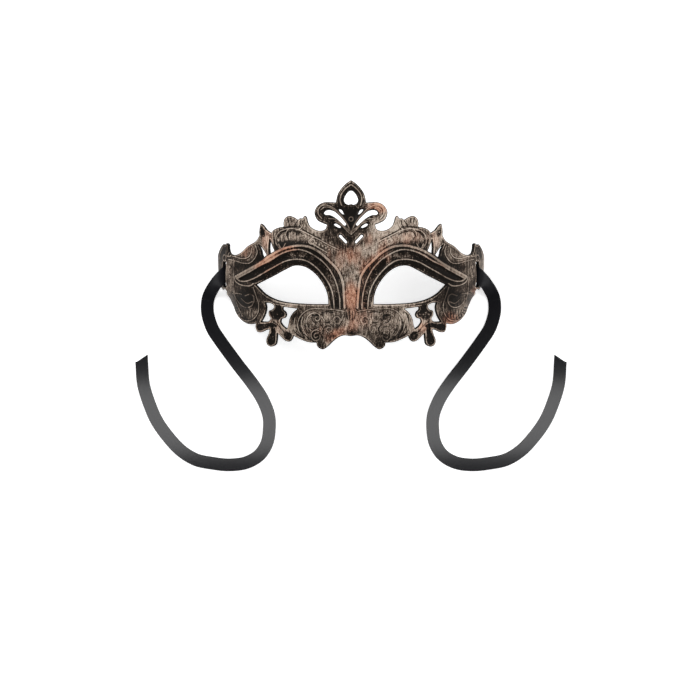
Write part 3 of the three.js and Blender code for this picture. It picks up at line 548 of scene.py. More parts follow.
@dataclass(frozen=True)
class NetMaker:
    """Cuts a square grid on the sheet along the line where the distance to the outline is nought.

    Both nets end in the same points. The coarse one has blocks of two by two squares away from the outline.
    """

    length: float
    height: float
    step: float
    least_share: float = 0.07

    @property
    def counts(self) -> tuple[int, int]:
        """Even numbers of squares along the sheet and up it."""
        return tuple(2 * math.ceil(size / self.step / 2) for size in (self.length, 2 * self.height))

    @property
    def axes(self) -> tuple[np.ndarray, np.ndarray]:
        """The grid's lines."""
        along, up = self.counts
        return np.linspace(0, self.length, along + 1), np.linspace(-self.height, self.height, up + 1)

    def grid(self) -> np.ndarray:
        """All the grid's places, row by row."""
        a, y = np.meshgrid(*self.axes, indexing="ij")
        return np.column_stack([a.ravel(), y.ravel()])

    def cut(self, depth: np.ndarray) -> Net:
        """Makes the net of the squares where depth is above nought.

        In each square the corners inside, and the points where depth crosses nought on its sides, make a
        polygon, which is divided into triangles from its first point.

        Args:
            depth: The signed distance to the outline at each of the grid's places, positive inside.

        Returns:
            The net, with only the places that it uses.
        """
        along, up = self.counts
        depth = depth.reshape(along + 1, up + 1)
        inside = depth > 0
        node = np.arange((along + 1) * (up + 1)).reshape(along + 1, up + 1)
        across_id = node.size + np.arange(along * (up + 1)).reshape(along, up + 1)
        upward_id = node.size + across_id.size + np.arange((along + 1) * up).reshape(along + 1, up)
        corner = [node[:-1, :-1], node[1:, :-1], node[1:, 1:], node[:-1, 1:]]
        side = [across_id[:, :-1], upward_id[1:], across_id[:, 1:], upward_id[:-1]]
        code = sum(
            part.astype(int) << k
            for k, part in enumerate([inside[:-1, :-1], inside[1:, :-1], inside[1:, 1:], inside[:-1, 1:]])
        )
        whole = 15
        parts = []
        for case in range(1, whole):
            here = code == case
            ring = []
            for k in range(4):
                if case >> k & 1:
                    ring.append(corner[k])
                if (case >> k & 1) != (case >> (k + 1) % 4 & 1):
                    ring.append(side[k])
            parts += [faces_of(here, ring[0], ring[m], ring[m + 1]) for m in range(1, len(ring) - 1)]
        cut_squares = np.vstack(parts)
        full = code == whole
        fine = np.vstack([cut_squares, self._squares(corner, full)])
        block = full[::2, ::2] & full[1::2, ::2] & full[::2, 1::2] & full[1::2, 1::2]
        loose = full & ~np.kron(block, np.ones((2, 2), bool))
        coarse = np.vstack([cut_squares, self._squares(corner, loose), self._blocks(node, block)])
        return self._tidy(self._places(depth, inside), fine, coarse)

    @staticmethod
    def _squares(corner: list[np.ndarray], chosen: np.ndarray) -> np.ndarray:
        """Fills squares with two triangles each, whose diagonals alternate.

        Args:
            corner: The point numbers at the squares' four corners, in turn.
            chosen: True for each square that is filled.

        Returns:
            The triangles.
        """
        i, j = np.indices(chosen.shape)
        found = []
        for turn in (0, 1):
            here = chosen & ((i + j) % 2 == turn)
            first, second, third, fourth = (corner[(k + turn) % 4] for k in range(4))
            found += [faces_of(here, first, second, third), faces_of(here, first, third, fourth)]
        return np.vstack(found)

    @staticmethod
    def _blocks(node: np.ndarray, block: np.ndarray) -> np.ndarray:
        """Fills two by two blocks, with a point in the middle of a side where a finer square is beside it.

        The middle line counts as a whole block, and the rear rim as finer squares.

        Args:
            node: The point numbers of the whole grid.
            block: True for each block that is filled.

        Returns:
            The triangles.
        """
        padded = np.pad(block, 1)
        padded[0, 1:-1] = block[0]
        beside = [padded[1:-1, :-2], padded[2:, 1:-1], padded[1:-1, 2:], padded[:-2, 1:-1]]
        corner = [node[:-2:2, :-2:2], node[2::2, :-2:2], node[2::2, 2::2], node[:-2:2, 2::2]]
        middle = [node[1::2, :-2:2], node[2::2, 1::2], node[1::2, 2::2], node[:-2:2, 1::2]]
        centre = node[1::2, 1::2]
        plain = block & beside[0] & beside[1] & beside[2] & beside[3]
        found = [faces_of(plain, *corner[:3]), faces_of(plain, corner[0], *corner[2:])]
        for k in range(4):
            start, end = corner[k], corner[(k + 1) % 4]
            long_side = block & ~plain & beside[k]
            short_side = block & ~plain & ~beside[k]
            found += [
                faces_of(long_side, centre, start, end),
                faces_of(short_side, centre, start, middle[k]),
                faces_of(short_side, centre, middle[k], end),
            ]
        return np.vstack(found)

    def _places(self, depth: np.ndarray, inside: np.ndarray) -> np.ndarray:
        """Works out where the net's points are.

        On a side that the outline crosses, the crossing's share of the way is the first corner's depth over
        the difference of both, kept away from the ends by the least share.

        Args:
            depth: The signed distance to the outline at the grid's places.
            inside: True where it is above nought.

        Returns:
            Places of the corners, then of the crossings across and of the crossings up.
        """
        grid = self.grid().reshape(*depth.shape, 2)
        found = [grid.reshape(-1, 2)]
        whole, but_last, but_first = slice(None), slice(None, -1), slice(1, None)
        for near, far in (((but_last, whole), (but_first, whole)), ((whole, but_last), (whole, but_first))):
            crossing = inside[near] != inside[far]
            share = depth[near] / np.where(crossing, depth[near] - depth[far], 1.0)
            share = np.clip(share, self.least_share, 1 - self.least_share)
            found.append((grid[near] + (grid[far] - grid[near]) * share[..., None]).reshape(-1, 2))
        return np.vstack(found)

    @staticmethod
    def _tidy(places: np.ndarray, fine: np.ndarray, coarse: np.ndarray) -> Net:
        """Drops the unused places, and finds the rim: the directed edges that only one fine triangle has.

        Args:
            places: All places.
            fine: The fine triangles, which between them use every place that is needed.
            coarse: The coarse triangles.

        Returns:
            The net, with no rim edge on the middle line.
        """
        used, renumbered = np.unique(fine, return_inverse=True)
        fine = renumbered.reshape(-1, 3)
        lookup = np.zeros(len(places), int)
        lookup[used] = np.arange(len(used))
        coarse = lookup[coarse]
        edges = np.vstack([fine[:, [0, 1]], fine[:, [1, 2]], fine[:, [2, 0]]])
        key = edges.min(1) * len(used) + edges.max(1)
        _, first, count = np.unique(key, return_index=True, return_counts=True)
        rim = edges[first[count == 1]]
        kept = places[used]
        on_axis = kept[:, 0] == 0
        return Net(kept, fine, coarse, rim[~(on_axis[rim[:, 0]] & on_axis[rim[:, 1]])])


@dataclass(frozen=True)
class Patch:
    """A soft-edged oval of paint about (u, v), in drawn units.

    Its half width and half height are wide and tall, and turn is in degrees. If both is true, it is on both
    halves.
    """

    u: float
    v: float
    wide: float
    tall: float
    amount: float = 1.0
    turn: float = 0.0
    both: bool = False
    edge_power: float = 3.0

    def cover(self, u: np.ndarray, v: np.ndarray) -> np.ndarray:
        """Works out how much of the patch lies at each place.

        It is the exponential of minus the distance to the edge power, with the distance measured along the
        oval's turned axes in its half widths.

        Args:
            u: Drawn places across.
            v: Drawn places up.

        Returns:
            The amount in the middle of the oval, falling off to nought.
        """
        across = (np.abs(u) if self.both else u) - self.u
        up = v - self.v
        turn = math.radians(self.turn)
        along = (across * math.cos(turn) + up * math.sin(turn)) / self.wide
        aside = (up * math.cos(turn) - across * math.sin(turn)) / self.tall
        return self.amount * np.exp(-((along**2 + aside**2) ** (self.edge_power / 2)))


def soft_ovals(rows: list[list[float]], on_both: list[list[float]] | None = None) -> list[Patch]:
    """Returns patches from rows of u, v, half width, half height, amount and turn in degrees."""
    return [Patch(*row) for row in rows] + [Patch(*row, both=True) for row in on_both or []]


def brushed(patches: list[Patch], u: np.ndarray, v: np.ndarray) -> np.ndarray:
    """Returns all the patches' paint at each place, added up."""
    return sum(patch.cover(u, v) for patch in patches)


# Where the pale paint was brushed on and where it was left off, with painted shadow along the upper side of
# the brow's top line among the dark patches, and where the copper was. A negative u is on the left of a
# picture of the face.
PALE_PATCHES = soft_ovals(
    [
        [30, 52, 13, 12, 0.3], [30, 32, 16, 12, 0.52], [62, 28, 16, 12, 0.14], [0, -2, 16, 30, 0.3],
        [0, -34, 6, 16, 0.1], [-36, 24, 12, 10, 0.22], [-46, -66, 10, 12, 0.12], [0, 57.5, 7, 2.6, 0.5],
        [-101, -48, 6, 7, 0.3], [-93, -46, 4, 9, 0.15], [112, -42, 7, 12, 0.2], [-122, -10, 5, 20, 0.08],
        [0, -62, 10, 12, 0.2], [-29, -78, 6, 5, 0.2], [48, 12, 10, 3, 0.12], [73.5, -47.5, 6, 6, 0.24],
        [71, -61, 6, 5, 0.2], [24, 8, 5, 6, 0.2], [-83, 5.2, 14, 2.9, 0.85, 30], [-13, 4, 9, 10, 0.15],
        [-66, 14.6, 9, 2.6, 0.35, 14], [78, 6, 30, 2.2, 0.25, -33], [-58, 9.5, 4, 3, 0.55],
        [-49, 10, 4, 3, 0.55], [-39.5, 5.6, 3.5, 2.6, 0.5], [-19.5, -17, 3.6, 14, 0.45, 24],
        [52, 8.4, 12, 3, 0.45], [37.5, 4, 4, 5, 0.6], [43, 9, 4, 2.5, 0.3], [19.5, -17, 3.4, 12, 0.3, -24],
        [20, 15, 11, 7, 0.42], [35, 9.5, 9, 3, 0.42, 32], [24, 58, 13, 5, 0.3], [-35, 34, 7, 5, 0.32],
        [-25, 16, 8, 4, 0.25], [-64, -40, 14, 2.6, 0.4], [32, -39.5, 28, 3, 0.32], [52, -55, 7, 14, 0.3],
        [-59, -66, 5, 8, 0.28], [-32, -62, 8, 6, 0.18], [115, -2, 9, 14, 0.2], [134, 4, 4, 13, 0.22],
        [89, 31, 3.5, 6, 0.4], [22, -38, 8, 8, 0.15],
    ],
    on_both=[
        [60, 28, 15, 8, 0.27], [60, 43, 9, 7, 0.36], [47, 40, 7, 9, 0.42], [84, 24, 6, 14, 0.32],
        [106, 10, 14, 9, 0.16], [30, -58, 26, 14, 0.14], [107, -48, 8, 10, 0.04], [74, -60, 22, 16, 0.26],
        [24, -69, 14, 6, 0.08], [19, -29, 6, 9, 0.22], [27, -12, 7, 16, 0.1, -28],
    ],
)
# The dark patches are where the pale paint was left off; the thin turned ovals along the upper side of the
# brow's top line are painted shadow.
DARK_PAINT_AND_SHADOW_PATCHES = soft_ovals(
    [
        [-38, 15, 14, 3, 0.3, -38], [46, 18.5, 10, 3, 0.2, 18], [22, 5, 5, 4, 0.12], [-22, 46, 26, 18, 0.2],
        [-9, 62, 5, 8, 0.2], [0, 78, 6, 5, 0.08], [-10, 28, 16, 10, 0.08], [0, 45, 10, 14, 0.4],
        [-104, -34, 13, 12, 0.42], [103, -34, 8, 8, 0.4], [-90.5, 9, 4.5, 11, 0.5], [89.5, 8, 4, 10, 0.42],
        [-57, -51, 7, 9, 0.48], [-88, 33, 4, 7, 0.2], [-36, -68, 10, 8, 0.1], [1, -69, 7, 5, 0.4],
        [-32, -80, 8, 5, 0.2], [51, -67, 7, 7, 0.14, 45], [-34, -66, 8, 10, 0.12], [30, -80, 9, 5, 0.2],
        [-86, -44, 5, 15, 0.26], [88, -44, 5, 14, 0.05], [-127, 14, 8, 11, 0.32], [130, 13, 4, 7, 0.2],
        [-112, 10, 7, 6, 0.15], [-72, 17.5, 12, 3.4, 0.55, 25], [80, 11.4, 12, 3, 0.35, -33],
        [-3, 20, 11, 10, 0.28], [-5, -3, 5, 10, 0.24], [-14, 46, 6, 8, 0.3], [98, -24, 7, 13, 0.26],
        [-102, -57, 9, 6, 0.35], [89, -56, 7, 5, 0.3], [96, -15, 6, 5, 0.6], [-91, 4, 6, 4, 0.2],
        [-62, 40, 14, 12, 0.12], [71, 34, 8, 6, 0.2], [8, 76, 6, 6, 0.2], [14, 33, 6, 11, 0.22],
        [-68, 15.5, 9, 3.4, 0.4, 20], [93, 2, 5, 5, 0.3], [-85, 8, 7, 3, 0.2, 30], [83, 9, 7, 4, 0.22, -33],
    ],
    on_both=[
        [60, 21, 15, 3.4, 0.42], [104, -1, 16, 5, 0.28], [96, -48, 6, 12, 0.1], [34, -53, 3.5, 3, 0.3],
        [14, -55.5, 2.5, 2.5, 0.25], [34.5, -71, 4.5, 4, 0.3], [20, -71, 4, 2.5, 0.25],
        [12.5, 66, 4, 8, 0.12],
    ],
)
COPPER_PATCHES = soft_ovals(
    [
        [0, -32, 8, 16, 0.85], [-13, 5, 14, 15, 0.34], [17, -4, 12, 16, 0.35, 50], [4, -58, 8, 12, 0.5],
        [-14, -70, 14, 6, 0.6, 30], [-84, 4, 15, 4, 0.95, 30], [-60, 16, 12, 3, 0.4], [27, 57, 12, 7, 0.8],
        [100, -54, 9, 8, 0.65], [24, 5, 16, 6, 0.45, 45], [-104, 14, 10, 8, 0.35], [11, -26, 5, 18, 0.4],
        [62, 27, 14, 10, 0.35], [40, 20, 20, 8, 0.24, 30], [2, 11, 9, 10, 0.42], [17, 24, 8, 9, 0.3],
        [78, 6, 26, 3, 0.35, -33], [112, -4, 11, 9, 0.12], [126, -26, 6, 5, 0.5], [71, -61, 6, 5, 0.3],
        [37.5, 5, 3.5, 5, 0.5], [-66, 13.6, 14, 3, 0.4, 14], [-80, -4.5, 16, 4, 0.5, 30],
        [16, -48, 8, 15, 0.35], [-32, -67, 18, 7, 0.25], [30, 30, 8, 14, 0.2],
    ],
    on_both=[
        [84, 26, 6, 12, 0.4], [62, -41.5, 8, 2, 0.25], [74, -60, 20, 14, 0.25],
    ],
)
# Where the thin lines are worn faint
FADED_PATCHES = soft_ovals(
    [
        [30, -60, 26, 20, 0.6], [117, -12, 8, 30, 0.55], [-18, -60, 12, 12, 0.45], [-103, -36, 14, 10, 0.2],
        [0, 38, 8, 9, 0.3], [-117, -12, 6, 30, 0.3], [21, 19, 13, 7, 0.75], [101, -30, 13, 10, 0.4],
    ],
)
# The pendants' bowls, which are sunk up to a thin rim along the outline
BOWLS = soft_ovals(
    [
        [73.5, -47.5, 8.5, 8.5], [88.3, -63, 7.5, 4.5, 1, 8], [79.5, -74.4, 4.4, 7.2, 1, 6],
        [62.6, -71.4, 4.2, 6.2, 1, -38], [80, -60.4, 7, 2.6, 1, 10], [77.6, -66, 2.4, 6, 1, -4],
    ],
)


@dataclass(frozen=True)
class Carving:
    """Relief of the front, and the lengths that the paint follows, at places on the sheet.

    Rises, depths, drops, half widths and slopes are millimetres, and so is how far from a hole or from the
    outline the crest and the bowls begin. The hollows are shares, which only the paint reads.
    """

    shell: Shell
    bold_rise: float = 0.62
    bold_half: float = 0.8
    broad_half: float = 0.34
    thin_rise: float = 0.36
    thin_half: float = 0.55
    bead_top: float = 0.35
    cut_depth: float = 0.32
    cut_half: float = 0.42
    panel_depth: float = 0.75
    panel_slope: float = 0.85
    band_rise: float = 0.5
    lid_drop: float = 0.55
    lip_drop: float = 0.38
    lip_width: float = 0.7
    crest_edge: tuple[float, float] = (1.7, 1.0)
    bowl_edge: tuple[float, float] = (0.42, 0.62)
    bowl_rim: tuple[float, float] = (0.7, 1.15)
    channel_slope: float = 1.7
    roll_slope: float = 1.4
    lid_slope: float = 0.8
    lid_width: float = 4.5
    channel_hollow: float = 0.85
    lid_hollow: float = 0.8
    crest_hollow: float = 0.9
    overrun: float = 2.0
    reach: float = 3.2
    eye_reach: float = 6.2

    def _loop(self, strokes: list[list[list[float]]]) -> np.ndarray:
        """A closed loop of smooth strokes on the sheet."""
        drawn = np.vstack([spline(stroke)[:-1] for stroke in strokes])
        return self.shell.unroll(drawn)

    def _line(self, points: list[list[float]]) -> np.ndarray:
        """A smooth line on the sheet."""
        return self.shell.unroll(spline(points))

    @cached_property
    def outer(self) -> np.ndarray:
        """The outline of the right half.

        Returns:
            Its points on the sheet, run beyond the rear rim and past the middle line by the overrun.
        """
        loop = self._loop(OUTLINE)
        loop[self.shell.on_rim(loop[:, 0]), 0] += self.overrun
        top, foot = loop[0, 1], loop[-1, 1]
        return np.vstack([loop, [[0, foot], [-self.overrun, foot], [-self.overrun, top]]])

    @cached_property
    def eye_hole(self) -> np.ndarray:
        """The eye hole on the sheet."""
        return self._loop(EYE_HOLE)

    @cached_property
    def crest_holes(self) -> list[np.ndarray]:
        """The spade's hole and those of the crest's arm on the sheet."""
        return [self._loop(strokes) for strokes in (SPADE_HOLE, *CREST_ARM_HOLES)]

    @cached_property
    def holes(self) -> list[np.ndarray]:
        """All the holes on the sheet."""
        return [self.eye_hole, *self.crest_holes, *(self._loop(strokes) for strokes in SMALL_HOLES)]

    def depth_inside(self, places: np.ndarray) -> np.ndarray:
        """Measures how far places are from the nearest edge of the mask.

        Args:
            places: Places on the sheet.

        Returns:
            The distances, positive on the material and negative off it, at most reach.
        """
        loops = [self.outer, *self.holes]
        nearest = np.minimum.reduce([distance_to_loop(places, loop, self.reach) for loop in loops])
        solid = is_inside(places, self.outer)
        for hole in self.holes:
            solid &= ~is_inside(places, hole)
        return np.where(solid, nearest, -nearest)

    def _nearest(self, places: np.ndarray, drawn: list[list[list[float]]]) -> np.ndarray:
        """The offset from the nearest of some lines, at most reach."""
        return least_offset([offset_from_line(places, self._line(points), self.reach) for points in drawn])

    def _from_centre(self, places: np.ndarray, u: float, v: float) -> np.ndarray:
        """The distance to a drawn point."""
        return np.linalg.norm(places - self.shell.unroll(np.array([[u, v]], float))[0], axis=1)

    def _well(self, places: np.ndarray, loop: np.ndarray, slope: float) -> np.ndarray:
        """How far down a sunk field a place is: nought outside, rising to 1 at the slope's width inside."""
        edge = distance_to_loop(places, loop, self.reach)
        return np.where(is_inside(places, loop), smooth_step(0, slope, edge), 0)

    def _bowls(self, places: np.ndarray, edge: np.ndarray) -> np.ndarray:
        """Works out how far down the pendants' bowls places are.

        It is the product of two smooth steps: of the greatest cover of the bowls' ovals, and of the distance
        to the mask's edge.

        Args:
            places: Places on the sheet.
            edge: The distance of each to the mask's edge.

        Returns:
            Shares, from 0 outside the bowls to 1 on their floors.
        """
        flat = self.shell.points(*places.T)[:, :2] / UNIT
        cover = np.maximum.reduce([oval.cover(*flat.T) for oval in BOWLS])
        return smooth_step(*self.bowl_edge, cover) * smooth_step(*self.bowl_rim, edge)

    def _between(self, places: np.ndarray, upper: list, lower: list, slope: float) -> np.ndarray:
        """How far between two drawn lines a place is: nought at them, rising to 1 at the slope's width."""
        return self._well(places, np.vstack([self._line(upper), self._line(lower[::-1])]), slope)

    def work(self, places: np.ndarray, edge: np.ndarray) -> dict[str, np.ndarray]:
        """Works out the relief and what the paint follows.

        The height is the highest of the lines' bells, less the sunk fields, the cut lines and the lid's
        slope down to the eye, with the brow's roll on top and a rounded lip at each edge. The brow's top
        line is broader than the others: its offset counts from a half width on.

        Args:
            places: Places on the sheet.
            edge: The distance of each to the mask's edge.

        Returns:
            The height in millimetres; lines, the offsets in millimetres from the nearest bold, thin and cut
            line; hollow, from 0 to 1 in the sunk parts; and roll, from 0 to 1 on the brow's rounded band.
        """
        rings = [self._from_centre(places, u, v) - radius * UNIT for u, v, radius in RINGS]
        beads = [np.maximum(0, self._from_centre(places, u, v) - self.bead_top) for u, v in BEADS]
        top = self._nearest(places, [BROW_TOP])
        top = np.sign(top) * np.maximum(0, np.abs(top) - self.broad_half)
        bold = least_offset([top, self._nearest(places, BOLD_LINES)])
        thin = least_offset([self._nearest(places, THIN_LINES), *rings, *beads])
        cut = self._nearest(places, CUT_LINES + short_cuts())
        bold_bells = self.bold_rise * bell(bold, self.bold_half)
        lines = np.maximum(bold_bells, self.thin_rise * bell(thin, self.thin_half))
        panels = [self._well(places, self._loop([loop]), self.panel_slope) for loop in SUNK_FIELDS]
        panels = np.maximum.reduce([*panels, self._bowls(places, edge)])
        channel = self._between(places, BROW_INNER, BROW_LOWER, self.channel_slope)
        roll = self._between(places, BROW_TOP, BROW_INNER, self.roll_slope)
        below = self._between(places, BROW_LOWER, LID_LINE, self.lid_slope)
        to_eye = distance_to_loop(places, self.eye_hole, self.eye_reach)
        lid = below * smooth_step(self.lid_width, 0, to_eye)
        lip = np.clip(1 - edge / self.lip_width, 0, 1) ** 2
        height = (
            lines - self.panel_depth * np.maximum(panels, channel) + self.band_rise * roll
            - self.cut_depth * bell(cut, self.cut_half) - self.lid_drop * lid - self.lip_drop * lip
        )
        to_crest = [distance_to_loop(places, hole, self.reach) for hole in self.crest_holes]
        crest = smooth_step(*self.crest_edge, np.minimum.reduce(to_crest))
        hollow = np.maximum.reduce([
            panels, channel * self.channel_hollow, below * self.lid_hollow, crest * self.crest_hollow,
        ])
        return {
            "height": height, "lines": np.column_stack([bold, thin, cut]), "hollow": hollow, "roll": roll,
        }


@dataclass(frozen=True)
class Noise:
    """A noise texture's look.

    Scale is in features to the metre, detail in octaves, rough is how strong the finer octaves are, and the
    gain is how much the texture's swing about one half counts.
    """

    scale: float | Socket
    detail: float = 3.0
    rough: float = 0.55
    gain: float = 1.0


class Nodes:
    """Adds and links the nodes of one tree."""

    # The Mix node's sockets for colours, by number, because its numbers' and colours' sockets share names
    FIRST_COLOUR, SECOND_COLOUR, MIXED_COLOUR = 6, 7, 2

    def __init__(self, tree: bpy.types.NodeTree) -> None:
        """Keeps the tree and starts with no node in it."""
        self.tree = tree
        tree.nodes.clear()

    def add(self, kind: str, inputs: dict | None = None, **settings) -> bpy.types.Node:
        """Adds a node.

        Args:
            kind: The node's type, without the word ShaderNode.
            inputs: What goes into its sockets, by name or number: another socket or a value.
            **settings: Its properties.

        Returns:
            The node.
        """
        node = self.tree.nodes.new(kind if kind.startswith("Node") else f"ShaderNode{kind}")
        for name, value in settings.items():
            setattr(node, name, value)
        for key, value in (inputs or {}).items():
            self.feed(node.inputs[key], value)
        return node

    def feed(self, socket: Socket, value: object) -> None:
        """Links a socket to another, or sets its value.

        Args:
            socket: The input.
            value: The output that it reads, or its value.
        """
        if isinstance(value, Socket):
            self.tree.links.new(value, socket)
        else:
            socket.default_value = value

    def math(self, operation: str, *values: object, clamp: bool = False) -> Socket:
        """The result of a Math node."""
        inputs = dict(enumerate(values))
        return self.add("Math", inputs, operation=operation, use_clamp=clamp).outputs[0]

    def span(self, value: object, low: float, high: float) -> Socket:
        """Turns the range from low to high into 0 to 1 by a smooth step."""
        inputs = {"Value": value, "From Min": low, "From Max": high}
        return self.add("MapRange", inputs, interpolation_type="SMOOTHSTEP").outputs["Result"]

    def attribute(self, name: str) -> Socket:
        """A number kept at each point of the mesh."""
        return self.add("Attribute", attribute_name=name, attribute_type="GEOMETRY").outputs["Fac"]

    def three(self, name: str) -> list[Socket]:
        """The three numbers of a row kept at each point of the mesh."""
        kept = self.add("Attribute", attribute_name=name, attribute_type="GEOMETRY").outputs["Vector"]
        return list(self.add("SeparateXYZ", {"Vector": kept}).outputs)

    def noise(self, vector: object, look: Noise) -> Socket:
        """The factor of a Noise texture, from 0 to 1."""
        inputs = {"Vector": vector, "Scale": look.scale, "Detail": look.detail, "Roughness": look.rough}
        return self.add("TexNoise", inputs).outputs["Fac"]

    def swing(self, factor: object, look: Noise) -> Socket:
        """A noise's difference from one half, times its gain."""
        return self.math("MULTIPLY", self.math("SUBTRACT", factor, 0.5), look.gain)

    def mix(self, share: object, first: object, second: object) -> Socket:
        """Mixes two colours.

        Args:
            share: How much of the second there is, from 0 to 1.
            first: A colour or a socket.
            second: A colour or a socket.

        Returns:
            The mixed colour's socket.
        """
        inputs = {"Factor": share, self.FIRST_COLOUR: first, self.SECOND_COLOUR: second}
        return self.add("Mix", inputs, data_type="RGBA").outputs[self.MIXED_COLOUR]

    def ramp(self, value: object, places: tuple[float, ...], colours: tuple[str, ...]) -> Socket:
        """Reads a colour ramp.

        Args:
            value: Where to read it, from 0 to 1.
            places: The places of its colours, in rising order.
            colours: The colours, each written as six hexadecimal digits.

        Returns:
            The colour's socket.
        """
        node = self.add("ValToRGB", {"Fac": value})
        elements = node.color_ramp.elements
        for extra in places[len(elements):]:
            elements.new(extra)
        for element, place, colour in zip(elements, places, colours):
            element.position = place
            element.color = linear(colour)
        return node.outputs["Color"]


def linear(colour: str) -> tuple[float, float, float, float]:
    """Turns a written colour into linear light.

    A channel c of the written colour is c over 12.92 where it is small, and else ((c + 0.055) over 1.055) to
    the power of 2.4.

    Args:
        colour: Six hexadecimal digits.

    Returns:
        Red, green, blue and an alpha of 1.
    """
    channels = [int(colour[k:k + 2], 16) / 255 for k in (0, 2, 4)]
    light = [c / 12.92 if c <= 0.04045 else ((c + 0.055) / 1.055) ** 2.4 for c in channels]
    return (*light, 1.0)


@dataclass(frozen=True)
class FineGrain:
    """The fine unevenness of both finishes: two noises of the same place, one of them finer, averaged."""

    usual_scale: float = 1000.0
    finer: float = 4.0
    share: float = 0.5

    def make(self) -> bpy.types.NodeTree:
        """Builds the group.

        Returns:
            A group with the inputs Vector and Scale and the output Grain, from 0 to 1.
        """
        tree = bpy.data.node_groups.new("fine_grain", "ShaderNodeTree")
        tree.interface.new_socket("Vector", in_out="INPUT", socket_type="NodeSocketVector")
        scale = tree.interface.new_socket("Scale", in_out="INPUT", socket_type="NodeSocketFloat")
        scale.default_value = self.usual_scale
        tree.interface.new_socket("Grain", in_out="OUTPUT", socket_type="NodeSocketFloat")
        nodes = Nodes(tree)
        given = nodes.add("NodeGroupInput").outputs
        coarse = nodes.noise(given["Vector"], Noise(given["Scale"]))
        finer = nodes.noise(given["Vector"], Noise(nodes.math("MULTIPLY", given["Scale"], self.finer)))
        finer = nodes.math("MULTIPLY", finer, self.share)
        nodes.add("NodeGroupOutput", {"Grain": nodes.math("MULTIPLY_ADD", coarse, self.share, finer)})
        return tree


class Slot(Enum):
    """The record's finishes."""

    PAINT = "aged_copper_paint"
    SATIN = "black_satin"


